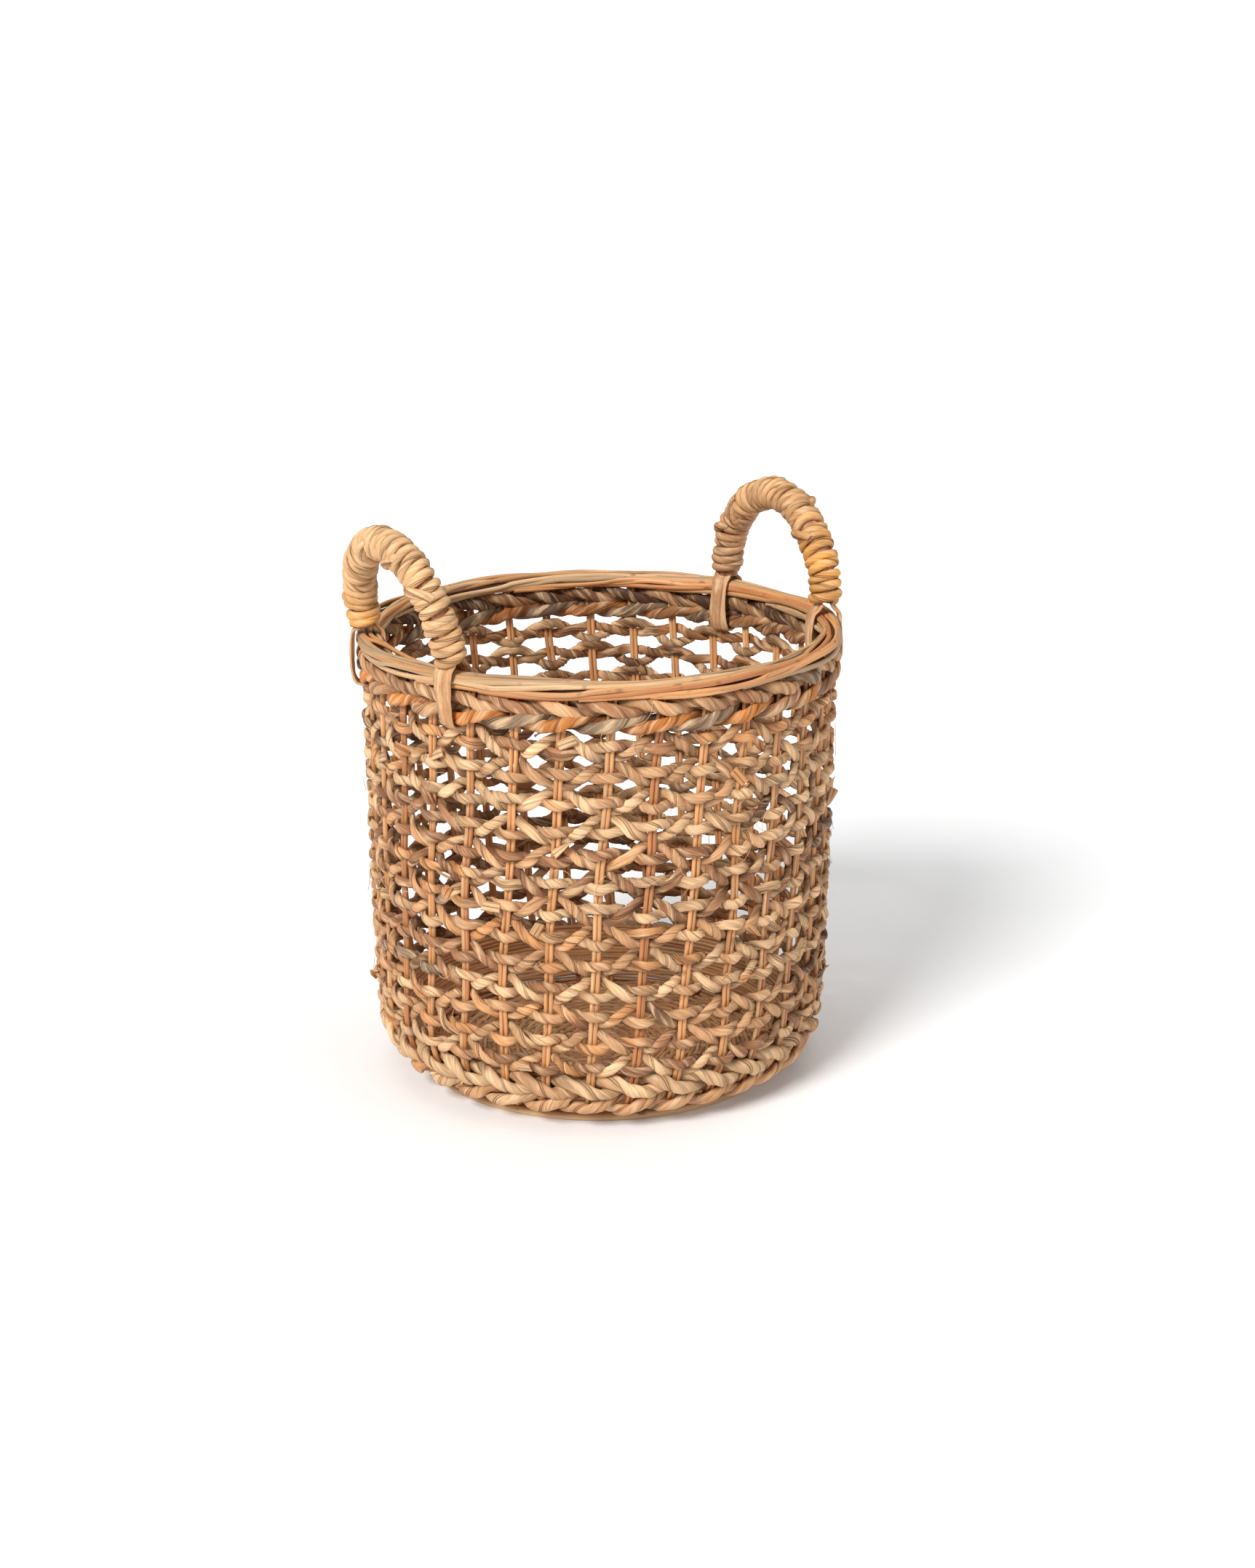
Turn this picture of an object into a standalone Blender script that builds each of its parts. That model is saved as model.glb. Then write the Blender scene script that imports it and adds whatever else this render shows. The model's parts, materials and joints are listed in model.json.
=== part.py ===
"""Seagrass storage basket: an open-weave round basket with two wrapped arch handles.

Thirty-two stakes, each a cane folded double, rise from the edge of a flat base mat.  Thirteen
open rows and two close bands are twined around them: every weaver runs one lap outside the
stakes and comes back one lap inside them.  A three-ring border closes the top, and each handle
stands on two strap lashings that loop around the border and the upper band.

Sizes are in millimetres.  The origin is the middle of the base's underside, +Z is up and the
two handles stand on the X axis.
"""

import math

import bmesh
import bpy
from mathutils import Matrix, Vector

MM = 0.001

# Clearances
GAP = 0.4                    # between pieces that touch on the real basket
CANE_GAP = 0.3               # between the two legs of one stake
ROW_GAP = 0.8                # between the weavers of neighbouring rows where they nearly meet

# Wall, measured to the middle of the stakes
BASKET_HEIGHT = 359.0        # top of the border
TOP_RADIUS = 181.0           # at the border
WAIST_RADIUS = 179.3         # half way down
HEEL_RADIUS = 176.8          # where the wall starts to turn in
FOOT_RADIUS = 137.0          # where the wall meets the base
HEEL_HEIGHT = 76.0           # of the start of the turn
HEEL_STEPS = 5               # straight pieces in the turn
WALL_TWIST = math.radians(-7)  # turn of the foot against the border, which leans the stakes

# Stakes
STAKES = 32
CANE_RADIUS = 2.0
STAKE_TOE = 12.0             # length that a stake runs in over the base mat

# Open rows
OPEN_ROWS = 13
STRAND_THICKNESS = 5.2       # across the wall
STRAND_HEIGHT = 6.6          # along the wall
OUTER_WAVE = 2.1             # rise and fall of the lap outside the stakes
SEAM_SHARE = 0.22            # share of a bay before and after the change of side

# Close bands
BAND_THICKNESS = 7.0
UPPER_COURSE = 12.4          # height along the wall of each course of the upper band
LOWER_COURSE = 15.4          # the same in the lower band
BAND_STEP = 1.0              # between the two courses of one band
LOWER_BAND_RISE = 31.5       # from the foot, along the wall, to the lower course's middle

# Border
BORDER_THICKNESS = 7.2
BORDER_HEIGHT = 8.4
CAP_HEIGHT = 4.6
CAP_WIDTH = 16.4

# Base
FOOT_RING_HEIGHT = 5.0
FOOT_RING_WIDTH = 9.5
FOOT_RING_OVERHANG = 10.6    # of the foot ring beyond the foot of the wall
BASE_MAT_THICKNESS = 5.0
BASE_MAT_EDGE = 1.2          # rounding of the mat's edge

# Handles
HANDLE_BAYS = 2              # bays from the handle's middle to each foot
HANDLE_RISE = 84.0           # from the leaning axis to the middle of the grip
HANDLE_LEG = 4.0             # straight length of each leg below the arch
CORE_RADIUS = 9.4
WRAP_RADIUS = 13.5
LEFT_LEAN = math.radians(12)
RIGHT_LEAN = math.radians(0)
LARGEST_LEAN = math.radians(20)
PIVOT_RISE = 0.4             # of the leaning axis above the border

# Lashings
STRAP_WIDTH = 10.0
STRAP_THICKNESS = 2.0
STRAP_TUCK = 2.2             # drop of the loop's lowest run below the upper band
STRAP_TOP_SPREAD = 5.5       # of each strap's end from the handle's middle

# Faces
RING_SIDES = 56
MAT_SIDES = 64
ARCH_STEPS = 16
CORE_SIDES = 8
WRAP_SIDES = 12

# What follows from the sizes above
BAY = math.tau / STAKES
BAY_SAG = TOP_RADIUS * (1 - math.cos(BAY / 2))   # of a straight run between two stakes
CANE_OFFSET = CANE_RADIUS + CANE_GAP / 2
STRAND_OUT = CANE_RADIUS + GAP + STRAND_THICKNESS / 2
BAND_OUT = CANE_RADIUS + GAP + BAND_THICKNESS / 2
BORDER_OUT = CANE_RADIUS + GAP + BORDER_THICKNESS / 2
STAKE_FOOT_HEIGHT = max(FOOT_RING_HEIGHT, BASE_MAT_THICKNESS) + GAP + CANE_RADIUS
BORDER_TOP = BASKET_HEIGHT - CAP_HEIGHT - GAP
BORDER_BOTTOM = BORDER_TOP - BORDER_HEIGHT
COLLAR_BOTTOM = BORDER_BOTTOM - GAP - 2 * UPPER_COURSE - BAND_STEP   # upright down to here
FOOT_RING_OUTER = FOOT_RADIUS + FOOT_RING_OVERHANG
MAT_RADIUS = FOOT_RING_OUTER - FOOT_RING_WIDTH - GAP
HANDLE_HALF_ANGLE = HANDLE_BAYS * BAY
HANDLE_X = TOP_RADIUS * math.cos(HANDLE_HALF_ANGLE)
HANDLE_HALF_WIDTH = TOP_RADIUS * math.sin(HANDLE_HALF_ANGLE)
PIVOT_HEIGHT = BASKET_HEIGHT + PIVOT_RISE
WRAP_WALL = WRAP_RADIUS * math.cos(math.pi / WRAP_SIDES) - CORE_RADIUS - GAP
WRAP_START = WRAP_RADIUS * math.sin(LARGEST_LEAN) + GAP
STRAP_OUT = max(BORDER_OUT + BORDER_THICKNESS / 2, BAND_OUT + BAND_THICKNESS / 2, CAP_WIDTH / 2)
STRAP_OUT += BAY_SAG + GAP + STRAP_THICKNESS / 2


def wall_line():
    """Return the middle line of a stake above the foot as (radius, height), from the top down."""
    middle = (COLLAR_BOTTOM + HEEL_HEIGHT) / 2
    points = [(TOP_RADIUS, BASKET_HEIGHT), (TOP_RADIUS, COLLAR_BOTTOM), (WAIST_RADIUS, middle)]
    for step in range(HEEL_STEPS + 1):
        turn = math.pi / 2 * step / HEEL_STEPS
        radius = FOOT_RADIUS + (HEEL_RADIUS - FOOT_RADIUS) * math.cos(turn)
        height = HEEL_HEIGHT - (HEEL_HEIGHT - STAKE_FOOT_HEIGHT) * math.sin(turn)
        points.append((radius, height))
    return points


WALL = wall_line()
WALL_LENGTH = sum(math.dist(a, b) for a, b in zip(WALL, WALL[1:]))

UPPER_BAND = [BASKET_HEIGHT - BORDER_BOTTOM + GAP + UPPER_COURSE / 2]
UPPER_BAND.append(UPPER_BAND[0] + UPPER_COURSE + BAND_STEP)
LOWER_BAND = [WALL_LENGTH - LOWER_BAND_RISE]
LOWER_BAND.insert(0, LOWER_BAND[0] - LOWER_COURSE - BAND_STEP)

WALL_SLOPE = math.atan2(TOP_RADIUS - WALL[2][0], COLLAR_BOTTOM - WALL[2][1])
OPEN_TOP = UPPER_BAND[1] + UPPER_COURSE / 2 + GAP + STRAND_OUT * abs(math.sin(WALL_SLOPE))
OPEN_BOTTOM = LOWER_BAND[0] - LOWER_COURSE / 2 - GAP
ROW_PITCH = (OPEN_BOTTOM - OPEN_TOP + ROW_GAP) / OPEN_ROWS
INNER_WAVE = (ROW_PITCH - STRAND_HEIGHT - ROW_GAP) / 2
FIRST_ROW = OPEN_TOP + INNER_WAVE + STRAND_HEIGHT / 2


def wall_at(depth):
    """Return radius, height and slope of the wall, `depth` along it below the border's top."""
    for (r0, z0), (r1, z1) in zip(WALL, WALL[1:]):
        length = math.dist((r0, z0), (r1, z1))
        if depth <= length:
            break
        depth -= length
    share = depth / length
    slope = math.atan2(r0 - r1, z0 - z1)
    return r0 + (r1 - r0) * share, z0 + (z1 - z0) * share, slope


def around(radius, height, angle):
    return Vector((radius * math.cos(angle), radius * math.sin(angle), height))


def on_wall(depth, out, angle):
    """Return a point `out` from the wall's middle, and the wall's slope there."""
    radius, height, slope = wall_at(depth)
    radius += out * math.cos(slope)
    height -= out * math.sin(slope)
    return around(radius, height, angle + twist_at(depth)), slope


def twist_at(depth):
    return WALL_TWIST * depth / WALL_LENGTH


def material(name, srgb, roughness):
    """Return a plain Principled BSDF material from an sRGB colour of 0 to 255."""
    made = bpy.data.materials.new(name)
    made.use_nodes = True
    shader = made.node_tree.nodes["Principled BSDF"]
    linear = [((c / 255 + 0.055) / 1.055) ** 2.4 for c in srgb]
    shader.inputs["Base Color"].default_value = (*linear, 1)
    shader.inputs["Roughness"].default_value = roughness
    shader.inputs["Metallic"].default_value = 0
    return made


def add_object(name, data, collection, finish=None):
    made = bpy.data.objects.new(name, data)
    collection.objects.link(made)
    if finish:
        data.materials.append(finish)
    return made


def outline(name, corners, collection):
    """Return a hidden closed curve, the section that a weaver is swept with."""
    curve = bpy.data.curves.new(name, "CURVE")
    curve.dimensions = "2D"
    spline = curve.splines.new("POLY")
    spline.points.add(len(corners) - 1)
    for point, (x, y) in zip(spline.points, corners):
        point.co = (x * MM, y * MM, 0, 1)
    spline.use_cyclic_u = True
    made = add_object(name, curve, collection)
    made.hide_render = True
    return made


def diamond(width, height):
    return [(width / 2, 0), (0, -height / 2), (-width / 2, 0), (0, height / 2)]


def path_curve(name, points, closed, tilts=None):
    """Return curve data that runs straight from point to point, in millimetres."""
    curve = bpy.data.curves.new(name, "CURVE")
    curve.dimensions = "3D"
    spline = curve.splines.new("POLY")
    spline.points.add(len(points) - 1)
    for number, place in enumerate(points):
        spline.points[number].co = (*(place * MM), 1)
        if tilts:
            spline.points[number].tilt = tilts[number]
    spline.use_cyclic_u = closed
    curve.use_fill_caps = not closed
    return curve


def swept(name, points, tilts, section, collection, finish):
    """Add a closed strand with the given section, upright and turned by each tilt."""
    curve = path_curve(name, points, True, tilts)
    curve.twist_mode = "Z_UP"
    curve.bevel_mode = "OBJECT"
    curve.bevel_object = section
    return add_object(name, curve, collection, finish)


def stake(number, collection, finish):
    """Add one stake: a cane that comes down the wall, folds over the base mat and goes back up."""
    start = (number + 0.5) * BAY
    toe = FOOT_RADIUS - STAKE_TOE
    line = [(TOP_RADIUS, BORDER_TOP)] + WALL[1:] + [(toe, STAKE_FOOT_HEIGHT)]
    depth = BASKET_HEIGHT - BORDER_TOP
    legs = {1: [], -1: []}
    for before, place in zip(line[:1] + line, line):
        depth = min(depth + math.dist(before, place), WALL_LENGTH)
        angle = start + twist_at(depth)
        side = Vector((-math.sin(angle), math.cos(angle), 0)) * CANE_OFFSET
        for hand, leg in legs.items():
            leg.append(around(*place, angle) + side * hand)
    bend = around(toe - CANE_RADIUS, STAKE_FOOT_HEIGHT, angle)
    points = legs[1] + [bend] + legs[-1][::-1]
    name = f"stake_{number + 1:02d}"
    curve = path_curve(name, points, False)
    curve.bevel_depth = CANE_RADIUS * MM
    curve.bevel_resolution = 0
    return add_object(name, curve, collection, finish)


def lap(depths, out):
    """Return the places of one lap, one at each stake, for depths that repeat around the wall."""
    places = []
    for number in range(STAKES):
        angle = (number + 0.5) * BAY
        places.append((depths[number % len(depths)], out, angle))
    return places


def join_laps(laps):
    """Chain laps into one closed strand, which changes side or course in its last bay."""
    chain = []
    for number, places in enumerate(laps):
        chain += places
        depth, out, angle = places[-1]
        next_depth, next_out, _ = laps[(number + 1) % len(laps)][0]
        drop = (next_depth - depth) * SEAM_SHARE
        chain.append((depth + drop, out, angle + BAY * SEAM_SHARE))
        chain.append((next_depth - drop, next_out, angle + BAY * (1 - SEAM_SHARE)))
    placed = [on_wall(*place) for place in chain]
    return [place for place, _ in placed], [slope for _, slope in placed]


def open_row(number, section, collection, finish):
    """Add one open row; the laps wave against each other and against the next row's."""
    middle = FIRST_ROW + ROW_PITCH * number
    sign = 1 if number % 2 == 0 else -1
    outer = lap([middle + sign * OUTER_WAVE, middle - sign * OUTER_WAVE], STRAND_OUT)
    inner = lap([middle - sign * INNER_WAVE, middle + sign * INNER_WAVE], -STRAND_OUT)
    points, tilts = join_laps([outer, inner])
    return swept(f"open_row_{number + 1:02d}", points, tilts, section, collection, finish)


def close_band(name, courses, section, collection, finish):
    """Add one close band: two courses outside the stakes, then two courses inside them."""
    upper, lower = courses
    laps = [lap([upper], BAND_OUT), lap([lower], BAND_OUT),
            lap([lower], -BAND_OUT), lap([upper], -BAND_OUT)]
    points, tilts = join_laps(laps)
    return swept(name, points, tilts, section, collection, finish)


def turned_ring(name, inner, outer, bottom, top, collection, finish):
    """Add a ring of rectangular section, turned about the basket's axis."""
    mesh = bpy.data.meshes.new(name)
    form = bmesh.new()
    corners = [(outer, top), (outer, bottom), (inner, bottom), (inner, top)]
    verts = [form.verts.new((radius * MM, 0, height * MM)) for radius, height in corners]
    for number, vert in enumerate(verts):
        form.edges.new((vert, verts[(number + 1) % len(verts)]))
    form.to_mesh(mesh)
    form.free()
    made = add_object(name, mesh, collection, finish)
    turn = made.modifiers.new("Turn", "SCREW")
    turn.axis = "Z"
    turn.angle = math.tau
    turn.steps = RING_SIDES
    turn.render_steps = RING_SIDES
    turn.use_merge_vertices = True
    turn.merge_threshold = 0.00001
    turn.use_smooth_shade = True
    return made


def border(collection, finish):
    """Add the three rings that hold the stakes' tops: outside, inside and over them."""
    half = BORDER_THICKNESS / 2
    for name, middle in [("border_outer", TOP_RADIUS + BORDER_OUT),
                         ("border_inner", TOP_RADIUS - BORDER_OUT)]:
        turned_ring(name, middle - half, middle + half, BORDER_BOTTOM, BORDER_TOP,
                    collection, finish)
    half = CAP_WIDTH / 2
    turned_ring("border_cap", TOP_RADIUS - half, TOP_RADIUS + half,
                BASKET_HEIGHT - CAP_HEIGHT, BASKET_HEIGHT, collection, finish)


def base(collection, mat_finish, ring_finish):
    """Add the base mat and the cane ring around it, both resting on the ground."""
    mesh = bpy.data.meshes.new("base_mat")
    form = bmesh.new()
    bmesh.ops.create_cone(form, cap_ends=True, segments=MAT_SIDES, radius1=MAT_RADIUS * MM,
                          radius2=MAT_RADIUS * MM, depth=BASE_MAT_THICKNESS * MM,
                          matrix=Matrix.Translation((0, 0, BASE_MAT_THICKNESS / 2 * MM)))
    form.to_mesh(mesh)
    form.free()
    mat = add_object("base_mat", mesh, collection, mat_finish)
    edge = mat.modifiers.new("Edge", "BEVEL")
    edge.width = BASE_MAT_EDGE * MM
    edge.segments = 1
    turned_ring("foot_ring", FOOT_RING_OUTER - FOOT_RING_WIDTH, FOOT_RING_OUTER,
                0, FOOT_RING_HEIGHT, collection, ring_finish)


def arch_points():
    """Return the handle's middle line from foot to foot, in its own upright plane."""
    spring = WRAP_START + HANDLE_LEG
    points = [Vector((0, HANDLE_HALF_WIDTH, WRAP_START))]
    for step in range(ARCH_STEPS + 1):
        turn = math.pi * step / ARCH_STEPS
        points.append(Vector((0, HANDLE_HALF_WIDTH * math.cos(turn),
                              spring + (HANDLE_RISE - spring) * math.sin(turn))))
    points.append(Vector((0, -HANDLE_HALF_WIDTH, WRAP_START)))
    return points


def arch_core(name, pivot, collection, finish):
    """Add the stiff bundle inside a handle."""
    curve = path_curve(name, arch_points(), False)
    curve.bevel_depth = CORE_RADIUS * MM
    curve.bevel_resolution = CORE_SIDES // 2 - 2
    core = add_object(name, curve, collection, finish)
    core.parent = pivot
    return core


def arch_wrap(name, pivot, collection, finish):
    """Add the wound cord around a handle's core, as a sleeve that is open at both feet."""
    curve = path_curve(name + "_path", arch_points(), False)
    curve.bevel_depth = WRAP_RADIUS * MM
    curve.bevel_resolution = WRAP_SIDES // 2 - 2
    curve.use_fill_caps = False
    path = bpy.data.objects.new(name + "_path", curve)
    collection.objects.link(path)
    bpy.context.view_layer.update()
    evaluated = path.evaluated_get(bpy.context.evaluated_depsgraph_get())
    mesh = bpy.data.meshes.new_from_object(evaluated)
    mesh.name = name
    bpy.data.objects.remove(path)
    mesh.shade_smooth()
    sleeve = add_object(name, mesh, collection, finish)
    wall = sleeve.modifiers.new("Wall", "SOLIDIFY")
    wall.thickness = WRAP_WALL * MM
    wall.offset = -1
    wall.use_rim = True
    wall.use_even_offset = True
    sleeve.parent = pivot
    return sleeve


def handle(side, direction, lean, collection, core_finish, wrap_finish):
    """Add one handle about its leaning axis, which runs through both feet."""
    pivot = bpy.data.objects.new(f"handle_{side}_pivot", None)
    collection.objects.link(pivot)
    pivot.location = (direction * HANDLE_X * MM, 0, PIVOT_HEIGHT * MM)
    pivot.rotation_euler = (0, direction * lean, 0)
    arch_core(f"handle_{side}_core", pivot, collection, core_finish)
    arch_wrap(f"handle_{side}_wrap", pivot, collection, wrap_finish)


def strap_line(lean):
    """Return the lashing's middle line as (out from the wall's middle, height), top to top."""
    band_end = UPPER_BAND[1] + UPPER_COURSE / 2
    tuck = wall_at(band_end)[1] - STRAP_TUCK
    turn = STRAP_OUT - 2 * STRAP_THICKNESS
    top = PIVOT_HEIGHT + WRAP_START * math.cos(lean) - CORE_RADIUS * math.sin(lean) - GAP
    half = [(STRAP_TOP_SPREAD, top), (STRAP_OUT, BASKET_HEIGHT + GAP),
            (STRAP_OUT, tuck + 2 * STRAP_THICKNESS), (turn, tuck)]
    return half + [(-out, height) for out, height in reversed(half)]


def strap_outline(lean):
    """Return the lashing's edge: its middle line pushed out to both faces."""
    line = [Vector(point) for point in strap_line(lean)]
    faces = {1: [], -1: []}
    for number, point in enumerate(line):
        before = (point - line[number - 1]).normalized() if number else None
        after = (line[number + 1] - point).normalized() if number + 1 < len(line) else None
        before = before or after
        after = after or before
        along = (before + after).normalized()
        across = Vector((-along.y, along.x))
        reach = STRAP_THICKNESS / 2 / across.dot(Vector((-before.y, before.x)))
        for face, points in faces.items():
            points.append(point + across * reach * face)
    for points in faces.values():
        points[0].y = line[0].y
        points[-1].y = line[-1].y
    return faces[1] + faces[-1][::-1]


def lashing(name, angle, lean, collection, finish):
    """Add one strap that loops around the border and the upper band below a handle's foot."""
    curve = bpy.data.curves.new(name, "CURVE")
    curve.dimensions = "2D"
    curve.fill_mode = "BOTH"
    curve.extrude = STRAP_WIDTH / 2 * MM
    spline = curve.splines.new("POLY")
    corners = strap_outline(lean)
    spline.points.add(len(corners) - 1)
    for point, (out, height) in zip(spline.points, corners):
        point.co = ((TOP_RADIUS + out) * MM, height * MM, 0, 1)
    spline.use_cyclic_u = True
    strap = add_object(name, curve, collection, finish)
    strap.rotation_euler = (math.pi / 2, 0, angle)
    return strap


def main():
    for old in list(bpy.data.objects):
        bpy.data.objects.remove(old)
    parts = bpy.data.collections.new("seagrass_storage_basket")
    sections = bpy.data.collections.new("sections")
    bpy.context.scene.collection.children.link(parts)
    bpy.context.scene.collection.children.link(sections)

    cane = material("stake_cane", (196, 138, 88), 0.55)
    weaver = material("seagrass_weaver", (176, 132, 97), 0.75)
    band = material("band_weaver", (160, 118, 86), 0.75)
    rim = material("border_cane", (205, 156, 110), 0.5)
    mat = material("base_weave", (222, 192, 150), 0.7)
    bundle = material("handle_bundle", (170, 130, 90), 0.8)
    cord = material("handle_cord", (208, 164, 116), 0.65)
    strap = material("strap", (205, 170, 125), 0.65)

    for number in range(STAKES):
        stake(number, parts, cane)

    row_section = outline("row_section", diamond(STRAND_THICKNESS, STRAND_HEIGHT), sections)
    for number in range(OPEN_ROWS):
        open_row(number, row_section, parts, weaver)
    for name, courses, height in [("upper_band", UPPER_BAND, UPPER_COURSE),
                                  ("lower_band", LOWER_BAND, LOWER_COURSE)]:
        section = outline(name + "_section", diamond(BAND_THICKNESS, height), sections)
        close_band(name, courses, section, parts, band)

    border(parts, rim)
    base(parts, mat, rim)
    handle("right", 1, RIGHT_LEAN, parts, bundle, cord)
    handle("left", -1, LEFT_LEAN, parts, bundle, cord)
    for side, middle, lean in [("right", 0, RIGHT_LEAN), ("left", math.pi, LEFT_LEAN)]:
        for end, turn in [("a", -HANDLE_HALF_ANGLE), ("b", HANDLE_HALF_ANGLE)]:
            lashing(f"lashing_{side}_{end}", middle + turn, lean, parts, strap)


main()
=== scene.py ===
"""Looks of a seagrass storage basket: cane stakes, twined leaf strands, wound cord handles."""

import json
import math

import bpy
import numpy as np
from bpy.props import FloatProperty, FloatVectorProperty, IntProperty, PointerProperty
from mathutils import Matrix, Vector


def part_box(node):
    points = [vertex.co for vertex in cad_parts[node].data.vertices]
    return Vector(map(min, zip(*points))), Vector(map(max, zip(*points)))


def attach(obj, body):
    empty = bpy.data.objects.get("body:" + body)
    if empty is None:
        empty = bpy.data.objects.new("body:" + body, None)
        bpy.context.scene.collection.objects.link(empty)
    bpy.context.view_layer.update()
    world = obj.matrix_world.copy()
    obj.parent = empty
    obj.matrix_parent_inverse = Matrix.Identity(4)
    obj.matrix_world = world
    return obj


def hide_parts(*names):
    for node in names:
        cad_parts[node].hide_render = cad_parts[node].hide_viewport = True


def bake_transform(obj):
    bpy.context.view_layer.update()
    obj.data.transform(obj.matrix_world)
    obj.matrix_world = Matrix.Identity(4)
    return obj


bl_info = {
    "name": "Seagrass storage basket",
    "version": (1, 0, 0),
    "blender": (4, 5, 0),
    "location": "3D View > Sidebar > Basket",
    "description": "Weaves the visible strands, canes and cords of the basket around its frame",
    "category": "Object",
}

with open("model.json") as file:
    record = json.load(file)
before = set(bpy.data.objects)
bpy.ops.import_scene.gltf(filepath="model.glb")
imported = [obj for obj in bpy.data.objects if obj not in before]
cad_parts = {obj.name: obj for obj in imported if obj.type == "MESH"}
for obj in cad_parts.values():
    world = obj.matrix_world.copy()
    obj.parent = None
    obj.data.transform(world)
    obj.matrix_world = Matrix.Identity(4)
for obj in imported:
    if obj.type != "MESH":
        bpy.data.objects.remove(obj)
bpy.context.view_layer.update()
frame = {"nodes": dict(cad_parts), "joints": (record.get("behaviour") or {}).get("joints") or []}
MM = 0.001
TAU = math.tau
BASKET = "basket"

STAKE_NODES = sorted(name for name in frame["nodes"] if name.startswith("stake_"))
ROW_NODES = sorted(name for name in frame["nodes"] if name.startswith("open_row_"))
STAKES = len(STAKE_NODES)
BAY = TAU / STAKES
STEPS_PER_BAY = 20  # points along a strand between two stakes

# Wall of the basket, along the middle of its stakes
CAP_REACH = 8.2 * MM  # of the border's cap beyond the stakes' middle
FOOT_CLEARANCE = 2.4 * MM  # of the stakes' middle above the foot ring's top
BORDER_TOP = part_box("border_cap")[1].z
COLLAR_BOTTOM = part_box("upper_band")[0].z
TOP_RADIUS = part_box("border_cap")[1].x - CAP_REACH
WAIST_RADIUS = TOP_RADIUS - 1.7 * MM
HEEL_RADIUS = TOP_RADIUS - 4.2 * MM
HEEL_HEIGHT = 76 * MM
FOOT_RADIUS = 137 * MM
FOOT_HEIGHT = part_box("foot_ring")[1].z + FOOT_CLEARANCE
TWIST = math.radians(-7)  # of the foot against the border
RIB_END = 20 * MM  # radius at which the wall's line stops under the base
WALL_STEPS = 60  # points down the side and round the heel
COLLAR_STEPS = 20  # points down the upright collar and in under the base


def wall_table():
    """Return depth, radius and height along the wall, from the border's top to under the base."""
    steps = np.linspace(0, 1, WALL_STEPS)
    collar = np.stack([np.full(COLLAR_STEPS, TOP_RADIUS),
                       np.linspace(BORDER_TOP, COLLAR_BOTTOM, COLLAR_STEPS)], 1)
    fall = np.linspace(COLLAR_BOTTOM, HEEL_HEIGHT, WALL_STEPS)
    bow = WAIST_RADIUS - (TOP_RADIUS + HEEL_RADIUS) / 2
    side = TOP_RADIUS + (HEEL_RADIUS - TOP_RADIUS) * steps + bow * 4 * steps * (1 - steps)
    turn = steps * math.pi / 2
    heel_r = FOOT_RADIUS + (HEEL_RADIUS - FOOT_RADIUS) * np.cos(turn)
    heel_z = HEEL_HEIGHT - (HEEL_HEIGHT - FOOT_HEIGHT) * np.sin(turn)
    floor = np.stack([np.linspace(FOOT_RADIUS, RIB_END, COLLAR_STEPS),
                      np.full(COLLAR_STEPS, FOOT_HEIGHT)], 1)
    line = np.concatenate([collar, np.stack([side, fall], 1)[1:],
                           np.stack([heel_r, heel_z], 1)[1:], floor[1:]])
    depth = np.concatenate([[0], np.cumsum(np.hypot(*np.diff(line, axis=0).T))])
    return depth, line[:, 0], line[:, 1]


DEPTH, RADIUS, HEIGHT = wall_table()
WALL_LENGTH = DEPTH[-1] - (FOOT_RADIUS - RIB_END)


def depth_of(height):
    """Return how far down the wall a height lies."""
    return float(np.interp(-height, -HEIGHT, DEPTH))


def wall(depth, angle, out):
    """Return points off the wall's middle and the outward direction there, as arrays."""
    depth, angle, out = np.broadcast_arrays(depth, angle, out)
    reach = 2 * MM
    radius = np.interp(depth, DEPTH, RADIUS)
    height = np.interp(depth, DEPTH, HEIGHT)
    ahead_r = np.interp(depth + reach, DEPTH, RADIUS) - np.interp(depth - reach, DEPTH, RADIUS)
    ahead_z = np.interp(depth + reach, DEPTH, HEIGHT) - np.interp(depth - reach, DEPTH, HEIGHT)
    length = np.hypot(ahead_r, ahead_z)
    normal_r, normal_z = -ahead_z / length, ahead_r / length
    turned = angle + TWIST * np.minimum(depth, WALL_LENGTH) / WALL_LENGTH
    across = np.stack([np.cos(turned), np.sin(turned)], -1)
    outward = np.concatenate([across * normal_r[..., None], normal_z[..., None]], -1)
    middle = np.concatenate([across * radius[..., None], height[..., None]], -1)
    return middle + outward * out[..., None], outward


def ring(radius, height, angle):
    """Return points on circles round the upright axis and the level outward direction there."""
    radius, height, angle = np.broadcast_arrays(radius, height, angle)
    across = np.stack([np.cos(angle), np.sin(angle), np.zeros(len(angle))], -1)
    points = across * radius[:, None]
    points[:, 2] = height
    return points, across


# ---- chance and colour

RIPPLE_WAVES = 6  # sines that one random wave is added up from
TINT_BLUR = 4  # times that the joints between patches of leaf are softened
SHADE_POWERS = (1.0, 1.14, 1.3)  # of red, green and blue, so that shade turns brown
MARK_RANGE = 50  # of the number that gives each strand its own fibres
# First seed of each group of pieces
SEEDS = {"stakes": 100, "rows": 300, "bands": 500, "border": 700, "base": 800, "handles": 900,
         "lashings": 1000, "loose": 1200}


def ripple(chance, count, waves, size=1.0):
    """Return a smooth random wave of the given size that closes on itself."""
    share = np.arange(count) / count
    total = np.zeros(count)
    for _ in range(RIPPLE_WAVES):
        turns = chance.integers(max(1, waves // 2), waves + 1)
        total += np.sin(TAU * (turns * share + chance.random()))
    return total * size / math.sqrt(RIPPLE_WAVES / 2)


def linear(srgb):
    """Return linear values of an sRGB colour of 0 to 255."""
    return ((np.asarray(srgb) / 255 + 0.055) / 1.055) ** 2.4


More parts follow.
